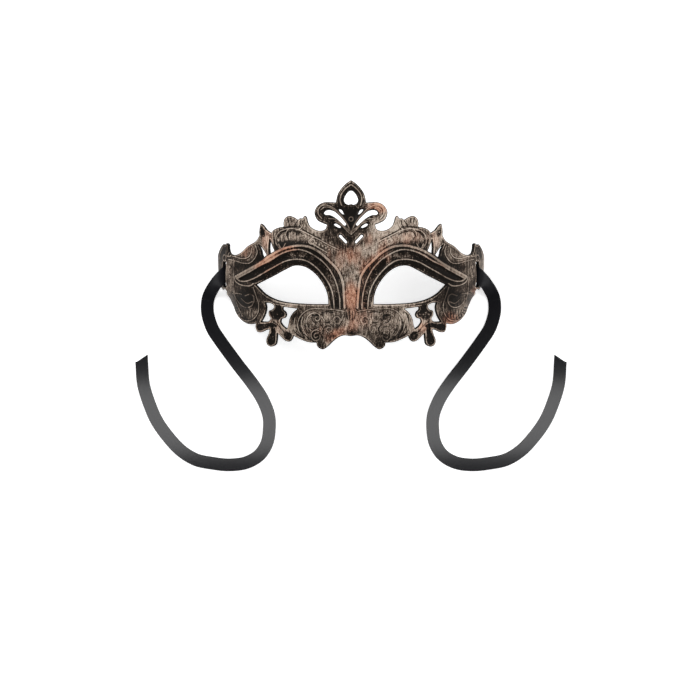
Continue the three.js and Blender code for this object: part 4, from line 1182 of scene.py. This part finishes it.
@dataclass(frozen=True)
class AgedCopperPaint:
    """Black moulded plastic, dry-brushed with taupe and copper so that the raised lines catch the paint.
    Painted shade darkens the very edges, and painted shadow lies along the brow's top line and in some of the
    cuts.

    A span is two readings between which an effect comes in. Shares add to the paint's strength. Lengths are
    millimetres, apart from the places that side_span names and the bump's depth, which are metres.
    """

    recess: str = "120e0a"
    brown: str = "362c25"
    taupe: str = "8a7b6e"
    pale: str = "c8b9aa"
    copper_shade: str = "46291e"
    copper: str = "a5715a"
    copper_light: str = "cfa68c"
    bare: str = "1b1a1a"
    taupe_places: tuple[float, float, float, float] = (0.0, 0.3, 0.62, 1.0)
    copper_places: tuple[float, float, float, float] = (0.0, 0.25, 0.6, 1.0)
    least_rough: float = 0.4
    grain_rough: float = 0.22
    paint_rough: float = -0.1
    gloss_level: float = 0.08
    metal_share: float = 0.2
    bump_speck: float = 0.4
    bump_streak: float = 0.6
    bump_strength: float = 0.35
    bump_depth: float = 0.00025
    grain_scale: float = 1400.0
    brush_stretch: tuple[float, float, float] = (1.0, 0.2, 0.5)
    streak: Noise = Noise(1150.0, 3.0, 0.6, gain=2.2)
    mottle: Noise = Noise(520.0, 4.0, 0.62, gain=0.75)
    speck: Noise = Noise(2100.0, 1.0, gain=1.7)
    cloud: Noise = Noise(150.0, 2.0, gain=0.6)
    spot: Noise = Noise(800.0, 4.0, 0.7)
    spot_span: tuple[float, float] = (0.53, 0.64)
    worn: Noise = Noise(230.0, 2.0)
    worn_span: tuple[float, float] = (0.28, 0.46)
    rubbed: Noise = Noise(260.0, 4.0, 0.6, gain=0.9)
    rubbed_span: tuple[float, float] = (0.05, 0.9)
    base_share: float = 0.29
    uneven_share: float = 0.78
    line_halves: tuple[float, float, float] = (0.47, 0.38, 0.42)
    mesh_margin: float = 0.35
    line_raggedness: float = 0.25
    line_span: tuple[float, float] = (1.1, 0.5)
    line_level: float = 0.56
    line_follow: float = 0.5
    fine_share: float = 0.7
    bold_worn: float = 0.5
    # How dark the cuts are painted: wash, and painted shadow inside the cheek's curls
    cut_wash_and_shadow_share: float = -0.65
    wash_spans: tuple[float, float, float, float] = (0.8, 1.2, 2.8, 1.5)
    wash_share: float = -0.38
    lip_spans: tuple[float, float, float, float] = (0.4, 0.7, 1.4, 1.0)
    lip_share: float = 0.36
    # Painted shade along the very edge, where the surface turns away from the light
    edge_shade_span: tuple[float, float] = (0.62, 0.3)
    edge_shade_share: float = -0.8
    hollow_share: float = -0.7
    hollow_calm: float = 0.2
    side_span: tuple[float, float] = (0.05, 0.075)
    side_calm: float = 0.35
    spot_share: float = 0.62
    roll_share: float = -0.28
    copper_share: float = 0.12

    def make(self, grain: bpy.types.NodeTree) -> bpy.types.Material:
        """Builds the material.

        The paint's strength at a point is the pale patches, less the dark ones with their painted shadow,
        plus brushed and mottled noise, plus the raised lines and lips, less the sunk parts, the wash beside
        the lines, the cuts with their painted shadow and a painted shade along the very edge. Two ramps turn
        it into taupe and copper, and the copper attribute mixes them.

        Args:
            grain: The group of the fine grain.

        Returns:
            The material.
        """
        material = bpy.data.materials.new(Slot.PAINT.value)
        material.use_nodes = True
        nodes = Nodes(material.node_tree)
        place = nodes.add("TexCoord").outputs["Object"]
        along_brush = nodes.add("Mapping", {"Vector": place, "Scale": self.brush_stretch}).outputs["Vector"]
        streak = nodes.noise(along_brush, self.streak)
        mottle = nodes.noise(place, self.mottle)
        speck = nodes.noise(place, self.speck)
        uneven = nodes.math("ADD", nodes.swing(streak, self.streak), nodes.swing(mottle, self.mottle))
        uneven = nodes.math("ADD", uneven, nodes.swing(speck, self.speck))
        strength = self._strength(nodes, place, uneven)
        taupe = nodes.ramp(strength, self.taupe_places, (self.recess, self.brown, self.taupe, self.pale))
        copper = nodes.ramp(
            strength, self.copper_places, (self.recess, self.copper_shade, self.copper, self.copper_light)
        )
        rubbed = nodes.swing(nodes.noise(along_brush, self.rubbed), self.rubbed)
        rubbed = nodes.math("ADD", rubbed, nodes.attribute("copper"))
        painted = nodes.mix(nodes.span(rubbed, *self.rubbed_span), taupe, copper)
        front = nodes.attribute("front")
        colour = nodes.mix(front, linear(self.bare), painted)
        even = nodes.add("Group", {"Vector": place, "Scale": self.grain_scale}, node_tree=grain)
        rough = nodes.math("MULTIPLY_ADD", even.outputs["Grain"], self.grain_rough, self.least_rough)
        rough = nodes.math("MULTIPLY_ADD", strength, self.paint_rough, rough)
        metal = nodes.math("MULTIPLY", nodes.math("MULTIPLY", strength, front), self.metal_share)
        height = nodes.math("MULTIPLY", streak, self.bump_streak)
        height = nodes.math("MULTIPLY_ADD", speck, self.bump_speck, height)
        bump = nodes.add("Bump", {
            "Height": height, "Strength": self.bump_strength, "Distance": self.bump_depth,
        })
        shader = nodes.add("BsdfPrincipled", {
            "Base Color": colour, "Roughness": rough, "Metallic": metal, "Normal": bump.outputs["Normal"],
            "Specular IOR Level": self.gloss_level,
        })
        nodes.add("OutputMaterial", {"Surface": shader.outputs["BSDF"]})
        return material

    def _strength(self, nodes: Nodes, place: Socket, uneven: Socket) -> Socket:
        """Adds up the paint's strength.

        The base, the pale attribute, which also holds the dark patches with their painted shadow, and each
        effect times its share are added and kept between 0 and 1. On a line the sum counts less, by how
        little the line follows it, and the line's own level is added.

        Args:
            nodes: The material's nodes.
            place: The object coordinates.
            uneven: The brushed unevenness about nought.

        Returns:
            The strength, from 0 in the bare recesses to 1 where the paint is thickest.
        """
        bold, fine, cut = self._line_distances(nodes)
        edge, hollow = nodes.attribute("edge"), nodes.attribute("hollow")
        kept_fine = nodes.math("SUBTRACT", 1.0, nodes.attribute("faded"))
        ragged = nodes.math("MULTIPLY", uneven, -self.line_raggedness)
        worn = nodes.span(nodes.noise(place, self.worn), *self.worn_span)
        line = self._painted_lines(nodes, (bold, fine), ragged, worn, kept_fine)
        uneven = self._calmed(nodes, place, uneven, hollow)
        spot = nodes.span(nodes.noise(place, self.spot), *self.spot_span)
        effects = [
            (self._band(nodes, bold, self.wash_spans), self.wash_share),
            (nodes.math("MULTIPLY", self._band(nodes, fine, self.wash_spans), kept_fine), self.wash_share),
            # the cuts' wash and painted shadow
            (nodes.span(cut, *self.line_span), self.cut_wash_and_shadow_share),
            (self._band(nodes, edge, self.lip_spans), self.lip_share),
            # painted shade at the very edge
            (nodes.span(edge, *self.edge_shade_span), self.edge_shade_share),
            (hollow, self.hollow_share),
            (nodes.math("MULTIPLY", hollow, spot), self.spot_share),
            (nodes.attribute("roll"), self.roll_share),
            (nodes.attribute("copper"), self.copper_share),
            (uneven, self.uneven_share),
            (nodes.swing(nodes.noise(place, self.cloud), self.cloud), 1.0),
        ]
        strength = nodes.attribute("pale")
        for effect, share in effects:
            strength = nodes.math("MULTIPLY_ADD", effect, share, strength)
        strength = nodes.math("ADD", strength, self.base_share, clamp=True)
        kept = nodes.math("MULTIPLY_ADD", line, self.line_follow - 1.0, 1.0)
        kept = nodes.math("MULTIPLY", strength, kept)
        return nodes.math("MULTIPLY_ADD", line, self.line_level, kept, clamp=True)

    def _painted_lines(
        self, nodes: Nodes, distances: tuple[Socket, Socket], ragged: Socket, worn: Socket, kept_fine: Socket,
    ) -> Socket:
        """Works out where the brush has caught the raised lines.

        Each line is a smooth step of its distance with a ragged edge, times what is left where it is worn.
        The bold and the fine lines differ in how much they wear, and the greater of both counts.

        Args:
            nodes: The material's nodes.
            distances: The distances to the nearest bold and fine line, in half widths.
            ragged: What makes the lines' edges uneven.
            worn: From 0 where the paint is worn to 1 where it isn't.
            kept_fine: What is left of the fine lines where they are faded.

        Returns:
            The lines' cover, from 0 to 1.
        """
        bold, fine = (nodes.span(nodes.math("ADD", away, ragged), *self.line_span) for away in distances)
        worn = nodes.math("MULTIPLY_ADD", worn, self.fine_share, 1 - self.fine_share)
        fine = nodes.math("MULTIPLY", nodes.math("MULTIPLY", fine, worn), kept_fine)
        worn = nodes.math("MULTIPLY_ADD", worn, self.bold_worn, 1 - self.bold_worn)
        return nodes.math("MAXIMUM", nodes.math("MULTIPLY", bold, worn), fine)

    def _calmed(self, nodes: Nodes, place: Socket, uneven: Socket, hollow: Socket) -> Socket:
        """Makes the paint more even in the hollows and out on the wings.

        Args:
            nodes: The material's nodes.
            place: The object coordinates.
            uneven: The brushed unevenness about nought.
            hollow: From 0 to 1 in the sunk parts.

        Returns:
            The unevenness, less its calm shares.
        """
        outwards = nodes.math("ABSOLUTE", nodes.add("SeparateXYZ", {"Vector": place}).outputs["X"])
        wing = nodes.span(outwards, *self.side_span)
        for where, calm in ((hollow, self.hollow_calm), (wing, self.side_calm)):
            uneven = nodes.math("MULTIPLY", uneven, nodes.math("MULTIPLY_ADD", where, -calm, 1.0))
        return uneven

    def _line_distances(self, nodes: Nodes) -> list[Socket]:
        """Works out how far the nearest bold, thin and cut line are, in half widths of each.

        The kept offset crosses nought on the line, so that a line may be thinner than the mesh's step. It
        also changes sign halfway between two lines, where the kept distance less a margin is the greater.

        Args:
            nodes: The material's nodes.

        Returns:
            The three distances' sockets.
        """
        offsets, distances = nodes.three("line_offsets"), nodes.three("line_distances")
        found = []
        for offset, distance, half in zip(offsets, distances, self.line_halves):
            away = nodes.math("SUBTRACT", distance, self.mesh_margin)
            near = nodes.math("MAXIMUM", nodes.math("ABSOLUTE", offset), away)
            found.append(nodes.math("DIVIDE", near, half))
        return found

    @staticmethod
    def _band(nodes: Nodes, length: Socket, spans: tuple) -> Socket:
        """A band along a line: it comes in over the first span of the length and goes over the second."""
        return nodes.math("MULTIPLY", nodes.span(length, *spans[:2]), nodes.span(length, *spans[2:]))


@dataclass(frozen=True)
class BlackSatin:
    """Black woven satin: fine ribs across the ribbon, and a firm selvedge along each side.

    Lengths are millimetres, apart from the bump's depth, which is metres.
    """

    cloth: str = "17171a"
    border: str = "080808"
    border_share: float = 0.3
    least_rough: float = 0.37
    grain_rough: float = 0.1
    border_rough: float = 0.12
    cloth_gloss: float = 0.05
    gloss: float = 0.37
    gloss_roughness: float = 0.055
    gloss_from: tuple[float, float] = (30.0, 60.0)
    rib_pitch: float = 0.32
    rib_height: float = 0.25
    selvedge: float = 0.35
    selvedge_inside: float = 0.5
    selvedge_height: float = 0.5
    thread_stretch: tuple[float, float, float] = (5.0, 0.35, 1.0)
    thread: Noise = Noise(1.0, 2.0)
    thread_height: float = 0.5
    bump_strength: float = 0.12
    bump_depth: float = 0.00008
    grain_scale: float = 900.0

    def make(self, grain: bpy.types.NodeTree, width: float, length: float) -> bpy.types.Material:
        """Builds the material on a UV map that runs across and along the ribbon.

        The ribs are the sine of the length over their pitch. The selvedge comes in by a smooth step over its
        outer part, and the sheen once the ribbon has reached the floor.

        Args:
            grain: The group of the fine grain.
            width: The ribbon's width in millimetres.
            length: The ribbon's length in millimetres.

        Returns:
            The material.
        """
        material = bpy.data.materials.new(Slot.SATIN.value)
        material.use_nodes = True
        nodes = Nodes(material.node_tree)
        flat = nodes.add("TexCoord").outputs["UV"]
        split = nodes.add("SeparateXYZ", {"Vector": flat})
        across = nodes.math("ABSOLUTE", nodes.math("SUBTRACT", split.outputs["X"], 0.5))
        from_side = nodes.math("MULTIPLY", nodes.math("SUBTRACT", 0.5, across), width)
        along = nodes.math("MULTIPLY", split.outputs["Y"], length)
        ribs = nodes.math("SINE", nodes.math("MULTIPLY", along, 2 * math.pi / self.rib_pitch))
        border = nodes.span(from_side, self.selvedge, self.selvedge * self.selvedge_inside)
        measured = nodes.add("CombineXYZ", {"X": from_side, "Y": along}).outputs["Vector"]
        stretched = nodes.add("Mapping", {"Vector": measured, "Scale": self.thread_stretch}).outputs["Vector"]
        height = nodes.math("MULTIPLY", nodes.noise(stretched, self.thread), self.thread_height)
        height = nodes.math("MULTIPLY_ADD", ribs, self.rib_height, height)
        height = nodes.math("MULTIPLY_ADD", border, self.selvedge_height, height)
        bump = nodes.add("Bump", {
            "Height": height, "Strength": self.bump_strength, "Distance": self.bump_depth,
        })
        place = nodes.add("TexCoord").outputs["Object"]
        even = nodes.add("Group", {"Vector": place, "Scale": self.grain_scale}, node_tree=grain)
        rough = nodes.math("MULTIPLY_ADD", even.outputs["Grain"], self.grain_rough, self.least_rough)
        rough = nodes.math("MULTIPLY_ADD", border, self.border_rough, rough)
        darker = nodes.math("MULTIPLY", border, self.border_share)
        colour = nodes.mix(darker, linear(self.cloth), linear(self.border))
        gloss = nodes.math("MULTIPLY", nodes.span(along, *self.gloss_from), self.gloss)
        shader = nodes.add("BsdfPrincipled", {
            "Base Color": colour, "Roughness": rough, "Normal": bump.outputs["Normal"],
            "Specular IOR Level": self.cloth_gloss, "Coat Weight": gloss,
            "Coat Roughness": self.gloss_roughness,
        })
        nodes.add("OutputMaterial", {"Surface": shader.outputs["BSDF"]})
        return material


def add_piece(name: str, points: np.ndarray, faces: np.ndarray, crease: float) -> bpy.types.Object:
    """Makes a mesh object at the origin.

    Args:
        name: The piece's name.
        points: Its points in millimetres.
        faces: Its triangles or quads, one row of point numbers each.
        crease: The angle in degrees past which an edge is sharp.

    Returns:
        The object.
    """
    mesh = bpy.data.meshes.new(name)
    corners = faces.shape[1]
    mesh.vertices.add(len(points))
    mesh.vertices.foreach_set("co", (points * MM).astype(np.float32).ravel())
    mesh.loops.add(faces.size)
    mesh.loops.foreach_set("vertex_index", faces.astype(np.int32).ravel())
    mesh.polygons.add(len(faces))
    mesh.polygons.foreach_set("loop_start", np.arange(0, faces.size, corners, dtype=np.int32))
    mesh.update(calc_edges=True)
    mesh.shade_smooth()
    mesh.set_sharp_from_angle(angle=math.radians(crease))
    piece = bpy.data.objects.new(name, mesh)
    bpy.context.scene.collection.objects.link(piece)
    return piece


def keep_numbers(piece: bpy.types.Object, name: str, values: np.ndarray) -> None:
    """Keeps numbers at the points of a piece's mesh, for its material.

    Args:
        piece: The object.
        name: The attribute's name.
        values: A number, or a row of three, for each point.
    """
    kind, field_name = ("FLOAT", "value") if values.ndim == 1 else ("FLOAT_VECTOR", "vector")
    attribute = piece.data.attributes.new(name, kind, "POINT")
    attribute.data.foreach_set(field_name, values.astype(np.float32).ravel())


@dataclass
class MaskShell:
    """The moulded shell: both halves of the front, the plainer back and the walls between them."""

    name: str = "mask_shell"
    step: float = 0.47
    crease: float = 48.0
    shell: Shell = field(default_factory=Shell)

    def build(self) -> bpy.types.Object:
        """Makes the piece.

        The front is the sheet moved out along its normals by the carving's height, and the back is the sheet
        moved in by the wall. The left half is the right one mirrored, with the middle line shared.

        Returns:
            The object, which takes the place of the CAD's mask, now hidden.
        """
        shell = self.shell
        carving = Carving(shell)
        maker = NetMaker(shell.unrolled, TOP_V * UNIT + self.step, self.step)
        net = maker.cut(carving.depth_inside(maker.grid()))
        a, y = net.places.T
        edge = np.maximum(0, carving.depth_inside(net.places))
        work = carving.work(net.places, edge)
        plain, normal = shell.points(a, y), shell.normals(a, y)
        front = plain + normal * work["height"][:, None]
        back = plain - normal * shell.wall
        on_axis = a == 0
        for layer in (front, back):
            layer[shell.on_rim(a), 2] = 0
            layer[on_axis, 0] = 0
            layer[:, 2] = np.maximum(0, layer[:, 2])
        count = len(a)
        mirror = np.array([-1, 1, 1])
        points = np.vstack([front, back, front * mirror, back * mirror])
        both = np.arange(2 * count)
        left = np.where(np.tile(on_axis, 2), both, both + 2 * count)
        start, end = net.rim_edges.T
        front_walls = np.column_stack([end, start, start + count])
        back_walls = np.column_stack([end, start + count, end + count])
        right_faces = np.vstack([net.fine, net.coarse[:, ::-1] + count, front_walls, back_walls])
        faces = np.vstack([right_faces, left[right_faces][:, ::-1]])
        used, renumbered = np.unique(faces, return_inverse=True)
        faces = renumbered.reshape(-1, 3)
        piece = add_piece(self.name, points[used], faces, self.crease)
        layer, index = np.divmod(used, count)
        for name, values in self._paint_guides(points[used], {**work, "edge": edge}, layer, index).items():
            keep_numbers(piece, name, values)
        log.info("%s: %d triangles", self.name, len(faces))
        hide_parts("mask")
        return piece

    @staticmethod
    def _paint_guides(
        points: np.ndarray, work: dict[str, np.ndarray], layer: np.ndarray, index: np.ndarray,
    ) -> dict[str, np.ndarray]:
        """Works out what the paint follows: the carving's lengths and the brushed patches, with painted
        shadow among the dark ones.

        Args:
            points: The mesh's points in millimetres.
            work: The carving's numbers and the distance to the edge, for the points of half the front.
            layer: The layer of each point of the mesh: front and back of the right half, then of the left.
            index: The point of half the front that each point of the mesh belongs to.

        Returns:
            The numbers by their attributes' names.
        """
        u, v = points[:, 0] / UNIT, points[:, 1] / UNIT
        lines = work["lines"][index]
        return {
            "front": (layer % 2 == 0).astype(float),
            "edge": work["edge"][index],
            # pale paint less the dark patches, whose thin bands along the brow's top line are painted shadow
            "pale": brushed(PALE_PATCHES, u, v) - brushed(DARK_PAINT_AND_SHADOW_PATCHES, u, v),
            "copper": np.clip(brushed(COPPER_PATCHES, u, v), 0, 1),
            "faded": np.clip(brushed(FADED_PATCHES, u, v), 0, 1),
            "hollow": work["hollow"][index],
            "roll": work["roll"][index],
            "line_offsets": lines,
            "line_distances": np.abs(lines),
        }

    def dress(self, piece: bpy.types.Object, finish: bpy.types.Material) -> None:
        """Gives the piece its paint and its body.

        Args:
            piece: The mask's object.
            finish: The paint.
        """
        piece.data.materials.append(finish)
        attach(piece, BODY)


class Side(Enum):
    """The sides of a picture of the face, with the sign of X on each."""

    RIGHT_OF_PICTURE = 1
    LEFT_OF_PICTURE = -1


@dataclass
class Ribbon:
    """A flat ribbon, fixed inside a wing, led out through its slot and laid on the floor.

    It leaves the wing's sheet between the lengths sheet_end and floor_start, and is flat from landed on.
    """

    side: Side
    node: str
    width: float = 8.7
    thick: float = 0.5
    floor_gap: float = 0.05
    sheet_end: float = 14.0
    floor_start: float = 25.0
    landed: float = 34.0
    bent_step: float = 1.0
    flat_step: float = 2.0
    end_slant: float = 2.6
    across_points: int = 9
    side_crowding: int = 3
    crease: float = 60.0
    reach: float = 0.2
    seen_smaller: float = 1.008
    eye_v: float = -85.0

    # The middle line in plan, drawn as seen from above. It lies further from the eye than the face, so it is
    # drawn a little smaller than it is, about the middle line's point at eye_v.
    ROUTE = [
        [114.5, 2.4], [119, -2.6], [124, -8], [130.5, -14.5], [137, -22], [142.5, -32.5], [143.7, -44.5],
        [142, -54], [138, -64.6], [131.2, -75], [114, -98.6], [98.7, -118.4], [88.6, -134], [82.4, -149.8],
        [81.6, -162.9], [84, -178], [91.6, -190], [104.6, -197.5], [121.5, -199.8], [138.8, -198.1],
        [155, -194.6], [169.7, -185.7], [182.2, -172.6], [194, -156], [201.5, -139], [207.5, -119],
        [209, -100], [209.4, -93.6],
    ]
    # Its height along the wing and through the slot, as pairs of the distance from the middle plane and the
    # height, and on the way down, as pairs of the length and the height
    SHEET = [
        [74, 25], [76, 23], [79, 19.6], [81, 17.6], [82.4, 16.6], [83.6, 16.5], [84.8, 17], [86, 18],
        [87.4, 17.9], [89, 16.2], [91, 12.6], [94, 7],
    ]
    DESCENT = [[12, 17.6], [15, 16.2], [18, 12], [22, 6], [27, 1.4], [32, 0], [40, 0]]
    # Where it comes out of the slot
    EXIT = (85.7, -7.5, 17.7)

    def height(self, length: np.ndarray, x: np.ndarray) -> np.ndarray:
        """The lower face's height: the sheet's, which gives way to the descent's by a smooth step."""
        down = smooth_step(self.sheet_end, self.floor_start, length)
        return np.maximum(0, read_pairs(self.SHEET, x) * (1 - down) + read_pairs(self.DESCENT, length) * down)

    def stations(self) -> tuple[np.ndarray, np.ndarray, np.ndarray]:
        """Works out steps along the ribbon, closer where it bends down to the floor.

        Returns:
            Their lengths from the fixed end, their plan points and their directions.
        """
        eye = np.array([0, self.eye_v])
        route = spline((eye + (np.array(self.ROUTE) - eye) * self.seen_smaller) * UNIT)
        gone = np.concatenate([[0], np.cumsum(np.linalg.norm(np.diff(route, axis=0), axis=1))])
        total = gone[-1]
        bent = np.arange(0, self.landed, self.bent_step)
        flat = np.linspace(self.landed, total, math.ceil((total - self.landed) / self.flat_step) + 1)
        length = np.concatenate([bent, flat])

        def at(where: np.ndarray) -> np.ndarray:
            """Plan points at lengths along the route."""
            return np.column_stack([np.interp(where, gone, route[:, k]) for k in (0, 1)])

        ahead = at(np.minimum(length + self.reach, total)) - at(np.maximum(length - self.reach, 0))
        return length, at(length), ahead / np.linalg.norm(ahead, axis=1, keepdims=True)

    def build(self) -> tuple[bpy.types.Object, float]:
        """Each station's section runs across the ribbon at right angles to its direction: the lower face from
        side to side and the upper face back. Its points crowd towards the sides, so that both faces are flat
        nearly up to them. Its height follows the lower face's.

        Returns:
            The piece, and its length in millimetres.
        """
        length, plan, ahead = self.stations()
        even = np.linspace(-1, 1, self.across_points)
        spread = np.sign(even) * (1 - (1 - np.abs(even)) ** self.side_crowding)
        q = np.concatenate([spread, spread[-2:0:-1]]) * self.width / 2
        h = np.repeat([0.0, self.thick], [self.across_points, self.across_points - 2])
        h[self.across_points - 1] = h[0] = self.thick / 2
        slant = np.where(np.arange(len(length)) == len(length) - 1, 2 * self.end_slant / self.width, 0)
        px = plan[:, :1] - ahead[:, 1:] * q + ahead[:, :1] * slant[:, None] * q
        py = plan[:, 1:] + ahead[:, :1] * q + ahead[:, 1:] * slant[:, None] * q
        gone = np.broadcast_to(length[:, None], px.shape)
        low = self.height(gone, px)
        slope = (self.height(gone, px + self.reach) - low) / self.reach
        tilt = np.hypot(1, slope)
        points = np.stack([px - slope * h / tilt, py, low + self.floor_gap + h / tilt], axis=2)
        rings, around = px.shape
        points = points.reshape(-1, 3) * np.array([self.side.value, 1, 1])
        faces = self._faces(rings, around)
        piece = add_piece(self.node + "_satin", points, faces, self.crease)
        self._lay_out(piece, faces, q / self.width + 0.5, length / length[-1], around)
        middle = points.reshape(rings, around, 3).mean(axis=1)
        run = float(np.linalg.norm(np.diff(middle, axis=0), axis=1).sum())
        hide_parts(self.node)
        log.info("%s: %.1f mm long, %d faces", piece.name, run, len(faces))
        return piece, run

    def _faces(self, rings: int, around: int) -> np.ndarray:
        """Joins the rings by quads, with a row of quads over each end, all turned outwards.

        Args:
            rings: The number of stations.
            around: The number of points around each.

        Returns:
            The quads.
        """
        ring, k = np.divmod(np.arange((rings - 1) * around), around)
        here, following = ring * around, (k + 1) % around
        skin = np.column_stack([here + k, here + following, here + around + following, here + around + k])
        i = np.arange(1, self.across_points - 2)
        strip = np.column_stack([i, i + 1, around - i - 1, around - i])
        caps = [strip[:, ::-1], strip + (rings - 1) * around]
        faces = np.vstack([skin, *caps])
        return faces if self.side is Side.RIGHT_OF_PICTURE else faces[:, ::-1]

    @staticmethod
    def _lay_out(
        piece: bpy.types.Object, faces: np.ndarray, across: np.ndarray, along: np.ndarray, around: int,
    ) -> None:
        """Gives the mesh a UV map that runs across and along the ribbon.

        Args:
            piece: The ribbon's object.
            faces: Its quads.
            across: The share of the width at each point of a ring.
            along: The share of the length at each ring.
            around: The number of points around a ring.
        """
        ring, k = np.divmod(faces.ravel(), around)
        layer = piece.data.uv_layers.new(name="ribbon")
        layer.data.foreach_set("uv", np.column_stack([across[k], along[ring]]).astype(np.float32).ravel())

    def dress(self, piece: bpy.types.Object, finish: bpy.types.Material) -> None:
        """Gives the ribbon its satin and its body.

        Args:
            piece: The ribbon's object.
            finish: The satin.
        """
        piece.data.materials.append(finish)
        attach(piece, BODY)


@dataclass(frozen=True)
class OverheadView:
    """The camera: a long lens, straight above the mask and looking down, with +Y up in the picture.

    The column and the row are those of the picture at which x and y are nought. Nearest and farthest are
    metres.
    """

    lens: float = 300.0
    sensor: float = 36.0
    picture: int = 700
    middle_column: float = 351.0
    nought_row: float = 265.0
    seen_height: float = 30.0
    nearest: float = 0.1
    farthest: float = 50.0

    def make(self) -> None:
        """Adds the camera.

        At the height of the face a pixel of the picture is one drawn unit, so the picture is as wide as its
        pixels there, and the camera is that width times the lens over the sensor above it.
        """
        wide = self.picture * UNIT
        data = bpy.data.cameras.new("camera")
        data.lens, data.sensor_width = self.lens, self.sensor
        data.clip_start, data.clip_end = self.nearest, self.farthest
        camera = bpy.data.objects.new("camera", data)
        x = (self.picture / 2 - self.middle_column) * UNIT
        y = (self.nought_row - self.picture / 2) * UNIT
        camera.location = (x * MM, y * MM, (self.seen_height + wide * self.lens / self.sensor) * MM)
        bpy.context.scene.collection.objects.link(camera)
        bpy.context.scene.camera = camera


@dataclass(frozen=True)
class Softbox:
    """A square or oblong area light, aimed at a point, with its places and sizes in metres."""

    name: str
    place: tuple[float, float, float]
    aim: tuple[float, float, float]
    size: tuple[float, float]
    watts: float

    def make(self) -> None:
        """Adds the light, unseen by the camera."""
        data = bpy.data.lights.new(self.name, "AREA")
        data.shape = "RECTANGLE"
        data.size, data.size_y = self.size
        data.energy = self.watts
        lamp = bpy.data.objects.new(self.name, data)
        lamp.location = self.place
        direction = Vector(self.aim) - Vector(self.place)
        lamp.rotation_euler = direction.to_track_quat("-Z", "Y").to_euler()
        lamp.visible_camera = False
        bpy.context.scene.collection.objects.link(lamp)


@dataclass(frozen=True)
class Studio:
    """A pale, softly lit table in a room with bright walls and a dim ceiling, and soft boxes above it.

    The room's light changes from the walls' to the ceiling's between two heights of the view's direction.
    """

    floor_colour: str = "f2f2f2"
    floor_side: float = 12.0
    floor_roughness: float = 0.9
    floor_glow: float = 0.62
    floor_crease: float = 30.0
    wall_light: float = 1.0
    ceiling_light: float = 0.12
    ceiling_start: float = 0.35
    ceiling_end: float = 0.85
    boxes: tuple[Softbox, ...] = (
        Softbox("key", (-1.2, 1.2, 1.5), (0, 0, 0.03), (1.0, 1.0), 26.0),
        Softbox("fill", (1.5, 0.3, 1.5), (0, 0, 0.03), (1.2, 1.2), 16.0),
        Softbox("ribbon_sheen", (0, -0.1264, 2.0), (0, -0.1264, 0), (0.8, 0.074), 1.5),
    )

    def make(self) -> None:
        """Adds the surround, the floor and the lights."""
        self._surround()
        bpy.context.scene.view_settings.view_transform = "Standard"
        half = self.floor_side / 2 / MM
        corners = np.array([[-half, -half, 0], [half, -half, 0], [half, half, 0], [-half, half, 0]])
        floor = add_piece("floor", corners, np.array([[0, 1, 2, 3]]), self.floor_crease)
        material = bpy.data.materials.new("table_top")
        material.use_nodes = True
        nodes = Nodes(material.node_tree)
        colour = linear(self.floor_colour)
        shader = nodes.add("BsdfPrincipled", {
            "Base Color": colour, "Roughness": self.floor_roughness,
            "Emission Color": colour, "Emission Strength": self.floor_glow,
        })
        nodes.add("OutputMaterial", {"Surface": shader.outputs["BSDF"]})
        floor.data.materials.append(material)
        for box in self.boxes:
            box.make()

    def _surround(self) -> None:
        """Lights the room: the walls' light near the horizon, and less towards the ceiling."""
        world = bpy.data.worlds.new("surround")
        world.use_nodes = True
        nodes = Nodes(world.node_tree)
        direction = nodes.add("SeparateXYZ", {"Vector": nodes.add("TexCoord").outputs["Generated"]})
        up = nodes.span(direction.outputs["Z"], self.ceiling_start, self.ceiling_end)
        light = nodes.math("MULTIPLY_ADD", up, self.ceiling_light - self.wall_light, self.wall_light)
        background = nodes.add("Background", {"Color": (1, 1, 1, 1), "Strength": light})
        nodes.add("OutputWorld", {"Surface": background.outputs["Background"]})
        bpy.context.scene.world = world


def main() -> None:
    """Builds the camera, the ribbons, the mask and the studio, in that order."""
    logging.basicConfig(level=logging.INFO, format="%(name)s %(message)s")
    OverheadView().make()
    grain = FineGrain().make()
    satin = None
    for side, node in ((Side.RIGHT_OF_PICTURE, "ribbon_right"), (Side.LEFT_OF_PICTURE, "ribbon_left")):
        ribbon = Ribbon(side, node)
        piece, length = ribbon.build()
        satin = satin or BlackSatin().make(grain, ribbon.width, length)
        ribbon.dress(piece, satin)
    mask = MaskShell()
    mask.dress(mask.build(), AgedCopperPaint().make(grain))
    Studio().make()


if __name__ == "__main__":
    main()
